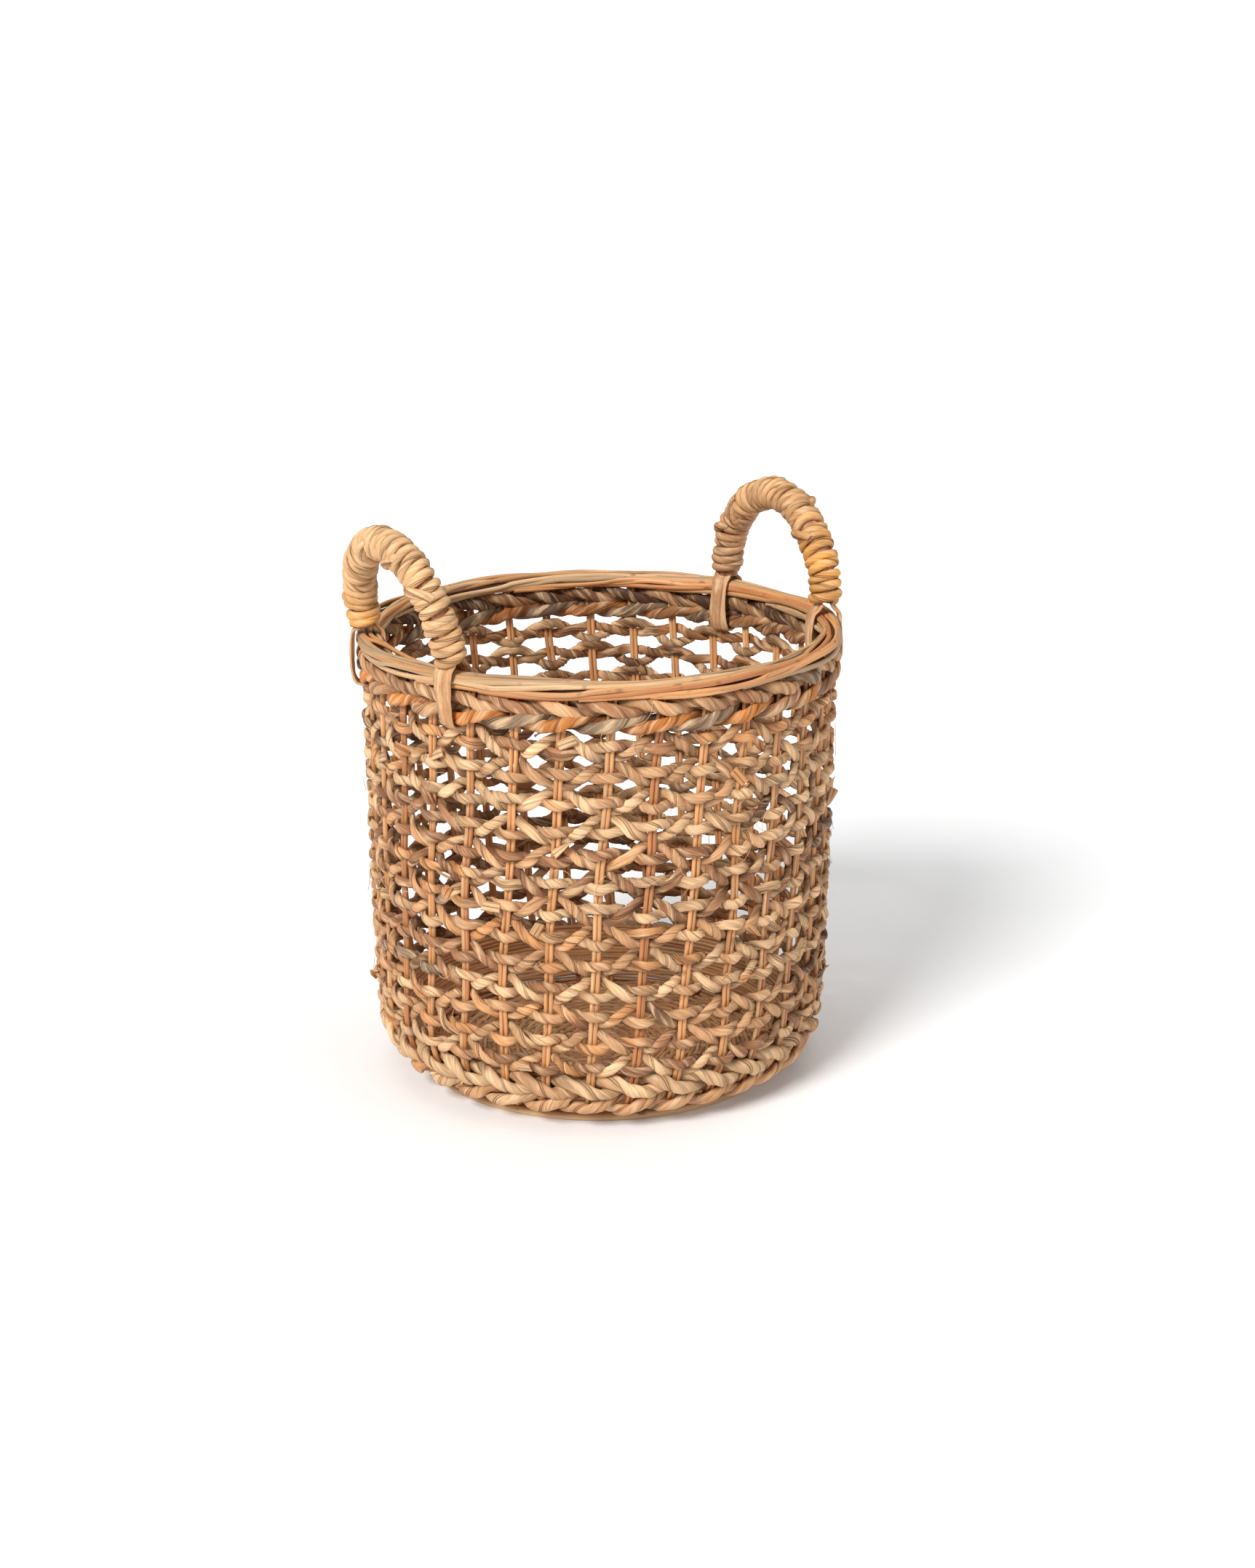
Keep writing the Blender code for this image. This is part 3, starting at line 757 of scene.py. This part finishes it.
def base_round(radius, rise, tilt, number, wave, chance):
    """Return one round of reed that goes over and under the ribs; tilt is its slope outwards."""
    ribs = ribs_at(radius)
    count = ribs * 8
    angle = np.arange(count) / count * TAU
    sway = wave * np.cos((angle - TWIST - BAY / 2) * ribs / 2 + math.pi * (number % 2))
    drift = ripple(chance, count, 9, min(0.25 * MM, radius / 12))
    points, across = ring(radius + drift - sway * math.sin(tilt),
                          rise + sway * math.cos(tilt), angle)
    tint = leaf_tint(chance, count, TAU * radius, REED_PALETTE, 200 * MM)
    return strand(points, across, True, tint, 1 + ripple(chance, count, 12, 0.05),
                  chance=chance)


def make_base(settings):
    finish = cane_finish("base_reed", 0.5)
    chance = np.random.default_rng(SEEDS["base"])
    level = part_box("base_mat")[1].z - 1.6 * MM
    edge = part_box("base_mat")[1].x - 2 * MM
    wave = settings.reed_wave
    rounds = [base_round(radius, level, 0.0, number, wave, chance)
              for number, radius in enumerate(np.arange(edge, BASE_EYE, -REED_STEP))]
    out, up = CORNER_ROUND
    rounds.append(base_round(edge + out, level + up, 0.0, 1, 0.0, chance))
    depths = np.arange(WALL_LENGTH - 1.5 * MM, depth_of(LINING_TOP), -REED_STEP)
    near, far = LINING_INSETS
    for number, depth in enumerate(depths):
        share = min((WALL_LENGTH - depth) / LINING_CLIMB, 1)
        inset = near + (far - near) * math.sin(share * math.pi / 2)
        place, outward = wall(depth, -TWIST, -inset)
        radius = math.hypot(place[0], place[1])
        tilt = math.atan2(math.hypot(outward[0], outward[1]), -outward[2])
        rounds.append(base_round(radius, place[2], tilt, number, 0.5 * wave, chance))
    sweep("base_reed_rounds", rounds, finish, "base_weave", ["base_mat"], width=REED_WIDTH,
          thickness=REED_WIDTH, sides=6, crumple=0.08 * MM, seed=9.0)

    ribs = []
    for number in range(STAKES):
        inner = RIB_STOPS[2 if number % 2 else 1 if number % 4 else 0]
        points, _ = ring(np.linspace(edge + 4 * MM, inner, RIB_STEPS), level,
                         (number + 0.5) * BAY + TWIST)
        upward = np.broadcast_to((0.0, 0.0, 1.0), points.shape)
        tint = cane_tint(chance, RIB_STEPS, ("cane", "border_pale"))
        ribs.append(strand(points, upward, False, tint, chance=chance))
    sweep("base_ribs", ribs, finish, "base_weave", width=5.5 * MM, thickness=2.4 * MM, sides=8,
          crumple=0.05 * MM, seed=10.0)

    rings = []
    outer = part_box("foot_ring")[1].x
    for inset in FOOT_CANES:
        height = FOOT_CANE_HEIGHT + ripple(chance, RING_STEPS, 5, 0.12 * MM)
        points, outward = ring(outer - inset, height, RING_ANGLES)
        tint = cane_tint(chance, RING_STEPS, ("border_pale",))
        rings.append(strand(points, outward, True, tint, 1 + ripple(chance, RING_STEPS, 9, 0.03),
                            chance=chance))
    sweep("foot_ring_canes", rings, finish, "border_cane", ["foot_ring"], width=6 * MM,
          thickness=6 * MM, sides=10, crumple=0.06 * MM, seed=11.0)


# ---- handles

CORE_RADIUS = 9.4 * MM
ARCH_FOOT = 5.0 * MM  # of the cord's end above the leaning axis
ARCH_LEG = 4.0 * MM  # straight part below the arch
WIND_STEPS = 36  # points along one turn of the cord
WIND_MARGIN = 4 * MM  # of the first and last turn from the line's ends
WIND_FADE = 0.1  # share of the winding over which its slant comes in
CORD_TWIST = 46 * MM  # length of one turn of the cord's leaf
BUNDLE_WIDTH = 17.5 * MM
BUNDLE_STRIDE = 12  # of the bundle's points along the handle's fine line
KNOT_STEPS = 24
KNOT_HALF_LENGTH = 9 * MM
# For each handle, where its cord was joined: share of the length, and the angle round the grip
KNOTS = {"right": ((0.17, 2.6), (0.27, 3.4), (0.73, 3.5), (0.62, 0.3)),
         "left": ((0.6, 0.2), (0.76, -0.4), (0.3, 3.0), (0.42, 0.5))}
# For each handle: the side it stands on, its lean and its colours from foot to foot
HANDLES = {
    "right": (1, 0.0, ("cord_brown", "cord_brown", "cord_tan", "cord_tan", "cord_tan",
                       "cord_gold", "cord_gold")),
    "left": (-1, math.radians(12), ("cord_gold", "cord_straw", "cord_straw", "cord_straw",
                                    "cord_straw", "cord_straw", "cord_tan")),
}


def handle_joint(side):
    return next(joint for joint in frame["joints"] if joint["child"] == f"{side}_handle")


def arch_line(side):
    """Return a handle's middle line in place, the length along it and the way its face looks."""
    direction, lean, _ = HANDLES[side]
    pivot = np.array(handle_joint(side)["pos_m"])
    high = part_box(f"handle_{side}_core")[1]
    half = high.y - CORE_RADIUS
    rise = (high.z - pivot[2] - CORE_RADIUS) / math.cos(lean)
    spring = ARCH_FOOT + ARCH_LEG
    turn = np.linspace(0, math.pi, 400)
    across = np.concatenate([[half], half * np.cos(turn), [-half]])
    up = np.concatenate([[ARCH_FOOT], spring + (rise - spring) * np.sin(turn), [ARCH_FOOT]])
    lift = np.array([direction * math.sin(lean), 0, math.cos(lean)])
    face = np.array([direction * math.cos(lean), 0, -math.sin(lean)])
    line = pivot + across[:, None] * np.array([0, 1, 0]) + up[:, None] * lift
    along = np.concatenate([[0], np.cumsum(np.linalg.norm(np.diff(line, axis=0), axis=1))])
    return line, along, face


def cord_tint(side, share, chance):
    """Return the cord's colour from foot to foot, with small changes from turn to turn."""
    shades = bpy.context.scene.basket_colours
    kinds = np.array([list(getattr(shades, name)) for name in HANDLES[side][2]])
    stops = np.linspace(0, 1, len(kinds))
    tint = np.stack([np.interp(share, stops, kinds[:, k]) for k in range(3)], -1)
    return tint * (1 + ripple(chance, len(share), 60, 0.1))[:, None]


def round_grip(place, angle, line, along, face):
    """Return the handle's middle, its run and the way out from it, at places and angles."""
    middle = np.stack([np.interp(place, along, line[:, k]) for k in range(3)], -1)
    tangent = np.gradient(middle, axis=0)
    tangent /= np.linalg.norm(tangent, axis=1)[:, None]
    radial = np.cos(angle)[:, None] * face + np.sin(angle)[:, None] * np.cross(tangent, face)
    return middle, tangent, radial


def winding(side, settings, chance):
    """Return the cord wound round one handle, foot to foot."""
    line, along, face = arch_line(side)
    length = along[-1]
    turns = round(length / settings.wind_pitch)
    count = turns * WIND_STEPS
    share = np.linspace(0, 1, count)
    uneven = share + ripple(chance, count, turns // 2, 0.0026)
    place = np.clip(WIND_MARGIN + uneven * (length - 2 * WIND_MARGIN), 0, length)
    turn = TAU * turns * share
    middle, tangent, radial = round_grip(place, turn, line, along, face)
    reach = (settings.wind_radius + ripple(chance, count, turns * 3, 0.3 * MM)
             + ripple(chance, count, turns, 0.3 * MM))
    slant = 0.2 + ripple(chance, count, turns // 2, 0.07)
    slant = slant * np.cos(turn + 1.4 * np.sin(share * 9))
    slant = slant * reach * np.clip(np.minimum(share, 1 - share) / WIND_FADE, 0.2, 1)
    points = middle + radial * reach[:, None] + tangent * slant[:, None]
    girth = 1 + ripple(chance, count, turns * 2, 0.08) + ripple(chance, count, turns // 2, 0.09)
    twist = turns_along(points, CORD_TWIST, False, 0.8, chance)
    return strand(points, radial, False, cord_tint(side, share, chance), girth, 0.12, twist,
                  chance)


def knot(side, share, turn, settings, chance):
    """Return a short end of cord that lies across the turns where the winding was joined."""
    line, along, face = arch_line(side)
    step = np.linspace(-1, 1, KNOT_STEPS)
    place = along[-1] * share + KNOT_HALF_LENGTH * step
    angle = turn + chance.choice((-0.9, 0.9)) * step
    middle, _, radial = round_grip(place, angle, line, along, face)
    reach = settings.wind_radius + 3.0 * MM * (1 - step ** 2)
    girth = 0.3 + 0.45 * (1 - step ** 2)
    tint = cord_tint(side, np.full(KNOT_STEPS, share), chance) * 0.95
    return strand(middle + radial * reach[:, None], radial, False, tint, girth, 0.1,
                  step * 1.5, chance)


def make_handles(settings):
    cord = leaf_finish("handle_cord_leaf", 34.0, 0.5, 0.4, 0.75, 0.6)
    bundle = leaf_finish("handle_bundle_stems", 30.0)
    for seed, side in enumerate(HANDLES):
        chance = np.random.default_rng(SEEDS["handles"] + seed)
        body = f"{side}_handle"
        width = settings.cord_width
        cords = [winding(side, settings, chance)]
        cords += [knot(side, share, turn, settings, chance) for share, turn in KNOTS[side]]
        sweep(f"handle_{side}_winding", cords, cord, "handle_cord", [f"handle_{side}_wrap"], body,
              width=width, thickness=width * 0.96, overlap=0.12, groove=0.08, sides=12,
              crumple=0.45 * MM, crumple_scale=230.0, seed=20.0 + seed)
        line, _, face = arch_line(side)
        points = line[::BUNDLE_STRIDE]
        outward = np.broadcast_to(face, points.shape)
        stems = strand(points, outward, False, bpy.context.scene.basket_colours.brown)
        sweep(f"handle_{side}_bundle", [stems], bundle, "handle_bundle", [f"handle_{side}_core"],
              body, width=BUNDLE_WIDTH, thickness=BUNDLE_WIDTH, sides=16, crumple=0.2 * MM,
              seed=30.0 + seed)


# ---- lashings

LASHING_TURN = 2 * BAY  # of each foot from the handle's middle
STRAP_STEPS = 90
PALE_PALETTE = {"beige": 3, "tan": 1}
STRAP_LENGTH = 120 * MM
STRAP_THICKNESS = 2.8 * MM
# Each strip's share of the strap's width, its place across the strap and its lift in mm
STRIPS = ((1.0, -0.09, 0.0), (0.62, 0.2, 1.1))


def strap_strands(angle, settings, chance):
    """Return the leaf strips of one lashing, round the border and the upper band."""
    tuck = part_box("upper_band")[0].z - 2 * MM
    out = settings.strap_out
    half = [(4 * MM, BORDER_TOP + 9 * MM), (6.5 * MM, BORDER_TOP + 4.5 * MM),
            (10.5 * MM, BORDER_TOP + 1 * MM), (out, BORDER_TOP - 5 * MM),
            (out + 0.6 * MM, BORDER_TOP - 20 * MM), (out, tuck + 9 * MM),
            (9 * MM, tuck + 2 * MM), (4 * MM, tuck)]
    corners = np.array(half + [(-reach, height) for reach, height in reversed(half)])
    stops = np.linspace(0, 1, len(corners))
    fine = np.linspace(0, 1, STRAP_STEPS)
    out, height = (np.interp(fine, stops, corners[:, k]) for k in (0, 1))
    for _ in range(3):
        out[1:-1] = (out[:-2] + out[1:-1] + out[2:]) / 3
        height[1:-1] = (height[:-2] + height[1:-1] + height[2:]) / 3
    fall, run = np.gradient(height), np.gradient(out)
    length = np.hypot(fall, run)
    strands = []
    for wide, aside, lifted in STRIPS:
        side = aside * settings.strap_width + ripple(chance, STRAP_STEPS, 4, 0.5 * MM)
        lift = lifted * MM * np.sign(out)
        points, across = ring(TOP_RADIUS + out + lift, height, angle + side / TOP_RADIUS)
        outward = across * (-fall / length)[:, None]
        outward[:, 2] = run / length
        tint = leaf_tint(chance, STRAP_STEPS, STRAP_LENGTH, PALE_PALETTE)
        strands.append(strand(points, outward, False, tint,
                              wide * (1 + ripple(chance, STRAP_STEPS, 5, 0.07)), 0.0,
                              math.pi + ripple(chance, STRAP_STEPS, 3, 0.12),
                              chance))
    return strands


def make_lashings(settings):
    finish = leaf_finish("flat_strap_leaf", 30.0, 0.5, 0.35, 0.7, 0.75)
    for side, (direction, _, _) in HANDLES.items():
        middle = 0 if direction > 0 else math.pi
        for number, end in enumerate("ab"):
            angle = middle + (LASHING_TURN if number else -LASHING_TURN)
            node = f"lashing_{side}_{end}"
            seed = SEEDS["lashings"] + 10 * (direction > 0) + number
            chance = np.random.default_rng(seed)
            strap = sweep(f"{node}_strap", strap_strands(angle, settings, chance), finish, "strap",
                          [node], None, width=settings.strap_width * 0.82,
                          thickness=STRAP_THICKNESS, overlap=0.1, groove=0.2, sides=16,
                          crumple=0.35 * MM, seed=40.0 + number)
            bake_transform(strap)


# ---- loose ends

END_STEPS = 14
FIBRE_STEPS = 10


def make_loose_ends(settings):
    """Short ends of leaf that stand off the rows, and thin fibres that have come loose."""
    chance = np.random.default_rng(SEEDS["loose"])
    ends = []
    for _ in range(settings.loose_ends):
        row = chance.integers(len(ROW_DEPTHS))
        share = np.linspace(0, 1, END_STEPS)
        slope = chance.uniform(-0.9, 0.9)
        length = chance.uniform(10, 18) * MM
        start = ROW_DEPTHS[row] + chance.normal(0, 2.5 * MM)
        depth = start + length * slope * share
        angle = chance.uniform(0, TAU) + length * math.sqrt(1 - slope ** 2) * share / TOP_RADIUS
        out = 4.5 * MM + chance.uniform(1.5, 3) * MM * share ** 0.8
        points, outward = wall(depth, angle, out)
        girth = np.clip(np.sin(math.pi * share ** 0.7) ** 0.8, 0.04, 1) * chance.uniform(0.6, 1)
        tint = leaf_tint(chance, END_STEPS, length, OPEN_PALETTE)
        turn = chance.uniform(-0.6, 0.6) + share * chance.uniform(-1.6, 1.6)
        ends.append(strand(points, outward, False, tint, girth, 0.0, turn, chance))
    finish = leaf_finish("loose_leaf", 20.0, 0.3, 0.4, 0.4, 0.9)
    sweep("loose_leaf_ends", ends, finish, "seagrass_weaver", width=7.5 * MM, thickness=1.2 * MM,
          sides=8, crumple=0.25 * MM, seed=50.0)
    fibres = []
    for _ in range(settings.loose_fibres):
        share = np.linspace(0, 1, FIBRE_STEPS)
        length = chance.uniform(8, 26) * MM
        turn = chance.uniform(0, TAU)
        start = chance.uniform(20 * MM, depth_of(HEEL_HEIGHT))
        depth = start + length * np.cos(turn + share) * share
        angle = chance.uniform(0, TAU) + length * np.sin(turn + share) * share / TOP_RADIUS
        points, outward = wall(depth, angle, 5 * MM + chance.uniform(0.5, 4) * MM * share)
        tint = leaf_tint(chance, FIBRE_STEPS, length, PALE_PALETTE)
        fibres.append(strand(points, outward, False, tint, 1 - 0.7 * share,
                             chance=chance))
    sweep("loose_fibres", fibres, cane_finish("loose_fibre", 0.5), "seagrass_weaver",
          width=0.42 * MM, thickness=0.42 * MM, sides=5, crumple=0.0, seed=51.0)


# ---- stage

CAMERA_AZIMUTH = math.radians(-31.3)
CAMERA_DISTANCE = 2.0
CAMERA_HEIGHT = 0.845
CAMERA_PITCH = 0.300
CAMERA_YAW = -0.011
CAMERA_LENS = 75.4
CAMERA_SENSOR = 36
CAMERA_CLIP = 300
WHITE = (1, 1, 1, 1)
PAPER = (0.92, 0.92, 0.92, 1)
FLOOR_REACH = 95.0
# For each sun: its azimuth from the camera's side, elevation, strength and the width of its disc
SUNS = {"key": (-34, 38, 1.0, 22), "side": (62, 30, 0.22, 60), "top": (170, 72, 0.3, 60)}


def make_stage(settings):
    scene = bpy.context.scene
    mesh = bpy.data.meshes.new("floor")
    corners = [(x * FLOOR_REACH, y * FLOOR_REACH, 0)
               for x, y in ((-1, -1), (1, -1), (1, 1), (-1, 1))]
    mesh.from_pydata(corners, [], [(0, 1, 2, 3)])
    floor = bpy.data.objects.new("floor", mesh)
    scene.collection.objects.link(floor)
    paper = bpy.data.materials.new("pale_floor")
    paper.use_nodes = True
    shader = paper.node_tree.nodes["Principled BSDF"]
    for key, value in (("Base Color", PAPER), ("Roughness", 0.9), ("Emission Color", WHITE),
                       ("Emission Strength", settings.floor_glow)):
        shader.inputs[key].default_value = value
    mesh.materials.append(paper)

    world = bpy.data.worlds.new("studio")
    world.use_nodes = True
    background = world.node_tree.nodes["Background"]
    background.inputs["Color"].default_value = WHITE
    background.inputs["Strength"].default_value = settings.ambient
    bench = NodeBench(world.node_tree)
    backdrop = bench.add("ShaderNodeBackground", {"Color": WHITE, "Strength": 1.0})
    seen = bench.add("ShaderNodeLightPath").outputs["Is Camera Ray"]
    both = bench.add("ShaderNodeMixShader", {0: seen, 1: background.outputs[0],
                                             2: backdrop.outputs[0]}).outputs[0]
    bench.feed(world.node_tree.nodes["World Output"].inputs["Surface"], both)
    scene.world = world
    scene.view_settings.view_transform = "Standard"

    for name, (azimuth, elevation, strength, disc) in SUNS.items():
        light = bpy.data.lights.new(name, "SUN")
        light.energy = strength * settings.sun
        light.angle = math.radians(disc)
        lamp = bpy.data.objects.new(name, light)
        scene.collection.objects.link(lamp)
        lamp.rotation_euler = (math.radians(90 - elevation), 0,
                               CAMERA_AZIMUTH + math.radians(azimuth))

    camera_data = bpy.data.cameras.new("camera")
    camera = bpy.data.objects.new("camera", camera_data)
    scene.collection.objects.link(camera)
    camera_data.lens = CAMERA_LENS
    camera_data.sensor_width = CAMERA_SENSOR
    camera_data.sensor_fit = "HORIZONTAL"
    camera_data.clip_end = CAMERA_CLIP
    camera.location = (CAMERA_DISTANCE * math.sin(CAMERA_AZIMUTH),
                       -CAMERA_DISTANCE * math.cos(CAMERA_AZIMUTH), CAMERA_HEIGHT)
    camera.rotation_euler = (math.pi / 2 - CAMERA_PITCH, 0, CAMERA_AZIMUTH + CAMERA_YAW)
    scene.camera = camera


# ---- settings

def size(name, description, default, low, high):
    """Return a length property in metres."""
    return FloatProperty(name=name, description=description, default=default * MM, min=low * MM,
                         max=high * MM, precision=5, subtype="DISTANCE", unit="LENGTH")


def colour(name, description, srgb):
    """Return a colour property."""
    return FloatVectorProperty(name=name, description=description, default=linear(srgb).tolist(),
                               min=0.0, max=1.0, size=3, subtype="COLOR")


def amount(name, description, default, low, high, kind=FloatProperty, **more):
    """Return a property that isn't a length."""
    return kind(name=name, description=description, default=default, min=low, max=high, **more)


class BasketWeave(bpy.types.PropertyGroup):
    """Sizes of the leaf strands, the canes and the base's reed."""

    strand_width: size("Strand width", "Width of an open row's strand", 8.8, 4, 12)
    strand_thickness: size("Strand thickness", "Thickness of a strand before pressing", 8.2, 3, 10)
    stand_out: size("Stand out", "Strand's middle from the stakes' middle", 4.4, 3, 7)
    cross_out: size("Cross out", "How far one strand lies over the other in mid bay", 2.2, 0, 4)
    outer_wave: size("Outer wave", "Rise and fall of the strand outside the stakes", 2.1, 0, 5)
    inner_wave: amount("Inner wave", "Rise of the inner strand, in rows", 0.4, 0.1, 0.5)
    twist_pitch: size("Twist pitch", "Length of one turn of a strand's leaf", 27, 15, 80)
    band_crumple: size("Band crumple", "Unevenness of the bands' strands", 0.55, 0, 2)
    stake_cane_width: size("Stake cane", "Diameter of one cane of a stake", 3.45, 2, 5)
    border_cane_width: size("Border cane", "Width of one cane of the border", 4.3, 2, 7)
    border_canes: amount("Border canes", "Canes laid round the border", 17, 6, 48, IntProperty)
    border_span: amount("Border span", "Sweep of one cane round the rim", math.radians(205), 1, 6,
                        subtype="ANGLE")
    reed_wave: size("Reed wave", "Rise and fall of the base's reed over its ribs", 1.2, 0, 3)
    loose_ends: amount("Loose ends", "Leaf ends that stand off the rows", 44, 0, 400, IntProperty)
    loose_fibres: amount("Loose fibres", "Thin fibres that came loose", 130, 0, 600, IntProperty)


class BasketHandles(bpy.types.PropertyGroup):
    """Sizes of the handles' cord and their straps."""

    cord_width: size("Cord", "Diameter of the handles' cord", 7.8, 4, 10)
    wind_pitch: size("Winding pitch", "Step from one turn of the cord to the next", 7.6, 4, 12)
    wind_radius: size("Winding radius", "Cord's middle from the handle's middle", 10.0, 8, 13)
    strap_width: size("Strap", "Width of a folded strap", 13.5, 6, 16)
    strap_out: size("Strap reach", "Strap's middle from the stakes' middle", 11.6, 9, 14)


class BasketColours(bpy.types.PropertyGroup):
    """Colours of the dried leaf, the canes and the cord."""

    tan: colour("Tan leaf", "Commonest colour of the strands", (200, 150, 106))
    beige: colour("Beige leaf", "Light strands", (222, 180, 136))
    brown: colour("Brown leaf", "Darker strands", (164, 114, 78))
    warm: colour("Warm leaf", "Strands with an orange cast", (206, 146, 94))
    grey: colour("Grey leaf", "Weathered strands", (150, 122, 98))
    orange: colour("Orange leaf", "Stained strands of the upper band", (200, 122, 54))
    dark: colour("Dark leaf", "Stained dark strands", (112, 76, 52))
    # Pale wear on the strands, also used as painted highlight.
    wear_and_highlight: colour("Worn and highlit leaf", "Pale places on the strands", (238, 202, 158))
    # Real stains on the leaf and dark joints of the canes, and also the painted shade of the
    # border's core.
    stain_and_shade: colour("Stain", "Dark stains and the shade inside the border", (86, 48, 26))
    cane: colour("Cane", "Peeled cane of the stakes", (216, 156, 102))
    cane_red: colour("Red cane", "Redder canes among the stakes", (198, 132, 82))
    cane_pale: colour("Pale cane", "Lighter canes among the stakes", (226, 176, 124))
    border_tan: colour("Border tan", "Orange-tan canes of the border", (200, 148, 98))
    border_pale: colour("Border pale", "Pale canes of the border and foot", (214, 174, 130))
    border_grey: colour("Border grey", "Weathered canes of the border", (188, 156, 118))
    reed: colour("Reed", "Reed of the base", (224, 170, 118))
    cord_straw: colour("Straw cord", "Pale cord of the left handle", (222, 177, 128))
    cord_tan: colour("Tan cord", "Cord over the top of the handles", (208, 160, 112))
    cord_brown: colour("Brown cord", "Cord at the right handle's rear foot", (198, 150, 108))
    cord_gold: colour("Golden cord", "Cord at the right handle's front foot", (226, 164, 88))


class BasketStage(bpy.types.PropertyGroup):
    """Strengths of the studio light."""

    sun: amount("Lamps", "Strength of the studio lamps", 3.3, 0, 10)
    ambient: amount("Ambient", "Strength of the light from all round", 0.12, 0, 3)
    floor_glow: amount("Floor glow", "Light that the paper floor gives off", 0.06, 0, 1)


# ---- operators

class BASKET_OT_stakes(bpy.types.Operator):
    """Lay the paired canes that stand up the wall"""

    bl_idname = "basket.stakes"
    bl_label = "Stakes"

    def execute(self, context):
        make_stakes(context.scene.basket_weave)
        return {"FINISHED"}


class BASKET_OT_open_rows(bpy.types.Operator):
    """Twine the open rows of leaf strands"""

    bl_idname = "basket.open_rows"
    bl_label = "Open rows"

    def execute(self, context):
        make_open_rows(context.scene.basket_weave)
        return {"FINISHED"}


class BASKET_OT_close_bands(bpy.types.Operator):
    """Twine the close bands at the top and the foot"""

    bl_idname = "basket.close_bands"
    bl_label = "Close bands"

    def execute(self, context):
        make_close_bands(context.scene.basket_weave)
        return {"FINISHED"}


class BASKET_OT_border(bpy.types.Operator):
    """Lay the border's canes round the rim"""

    bl_idname = "basket.border"
    bl_label = "Border"

    def execute(self, context):
        make_border(context.scene.basket_weave)
        return {"FINISHED"}


class BASKET_OT_base(bpy.types.Operator):
    """Weave the base and lay the foot ring"""

    bl_idname = "basket.base"
    bl_label = "Base"

    def execute(self, context):
        make_base(context.scene.basket_weave)
        return {"FINISHED"}


class BASKET_OT_handles(bpy.types.Operator):
    """Wind the cord of both handles"""

    bl_idname = "basket.handles"
    bl_label = "Handles"

    def execute(self, context):
        make_handles(context.scene.basket_handles)
        return {"FINISHED"}


class BASKET_OT_lashings(bpy.types.Operator):
    """Tie the straps below the handles"""

    bl_idname = "basket.lashings"
    bl_label = "Lashings"

    def execute(self, context):
        make_lashings(context.scene.basket_handles)
        return {"FINISHED"}


class BASKET_OT_loose_ends(bpy.types.Operator):
    """Add the loose leaf ends and fibres"""

    bl_idname = "basket.loose_ends"
    bl_label = "Loose ends"

    def execute(self, context):
        make_loose_ends(context.scene.basket_weave)
        return {"FINISHED"}


class BASKET_OT_stage(bpy.types.Operator):
    """Set the floor, the lamps and the camera"""

    bl_idname = "basket.stage"
    bl_label = "Stage"

    def execute(self, context):
        make_stage(context.scene.basket_stage)
        return {"FINISHED"}


OPERATORS = (
    BASKET_OT_stakes, BASKET_OT_open_rows, BASKET_OT_close_bands, BASKET_OT_border,
    BASKET_OT_base, BASKET_OT_handles, BASKET_OT_lashings, BASKET_OT_loose_ends, BASKET_OT_stage,
)
SETTINGS = {"basket_weave": BasketWeave, "basket_handles": BasketHandles,
            "basket_colours": BasketColours, "basket_stage": BasketStage}


class BASKET_PT_panel(bpy.types.Panel):
    """Sizes, colours and steps of the basket"""

    bl_label = "Basket"
    bl_idname = "BASKET_PT_panel"
    bl_space_type = "VIEW_3D"
    bl_region_type = "UI"
    bl_category = "Basket"

    def draw(self, context):
        for name, group in SETTINGS.items():
            box = self.layout.box()
            box.label(text=group.__doc__)
            for key in group.__annotations__:
                box.prop(getattr(context.scene, name), key)
        for operator in OPERATORS:
            self.layout.operator(operator.bl_idname)


CLASSES = (*SETTINGS.values(), *OPERATORS, BASKET_PT_panel)


def register():
    for cls in CLASSES:
        bpy.utils.register_class(cls)
    for name, group in SETTINGS.items():
        setattr(bpy.types.Scene, name, PointerProperty(type=group))


def unregister():
    for name in SETTINGS:
        delattr(bpy.types.Scene, name)
    for cls in reversed(CLASSES):
        bpy.utils.unregister_class(cls)


def main():
    register()
    bpy.ops.basket.stakes()
    bpy.ops.basket.open_rows()
    bpy.ops.basket.close_bands()
    bpy.ops.basket.border()
    bpy.ops.basket.base()
    bpy.ops.basket.handles()
    bpy.ops.basket.lashings()
    bpy.ops.basket.loose_ends()
    bpy.ops.basket.stage()


if __name__ == "__main__":
    main()
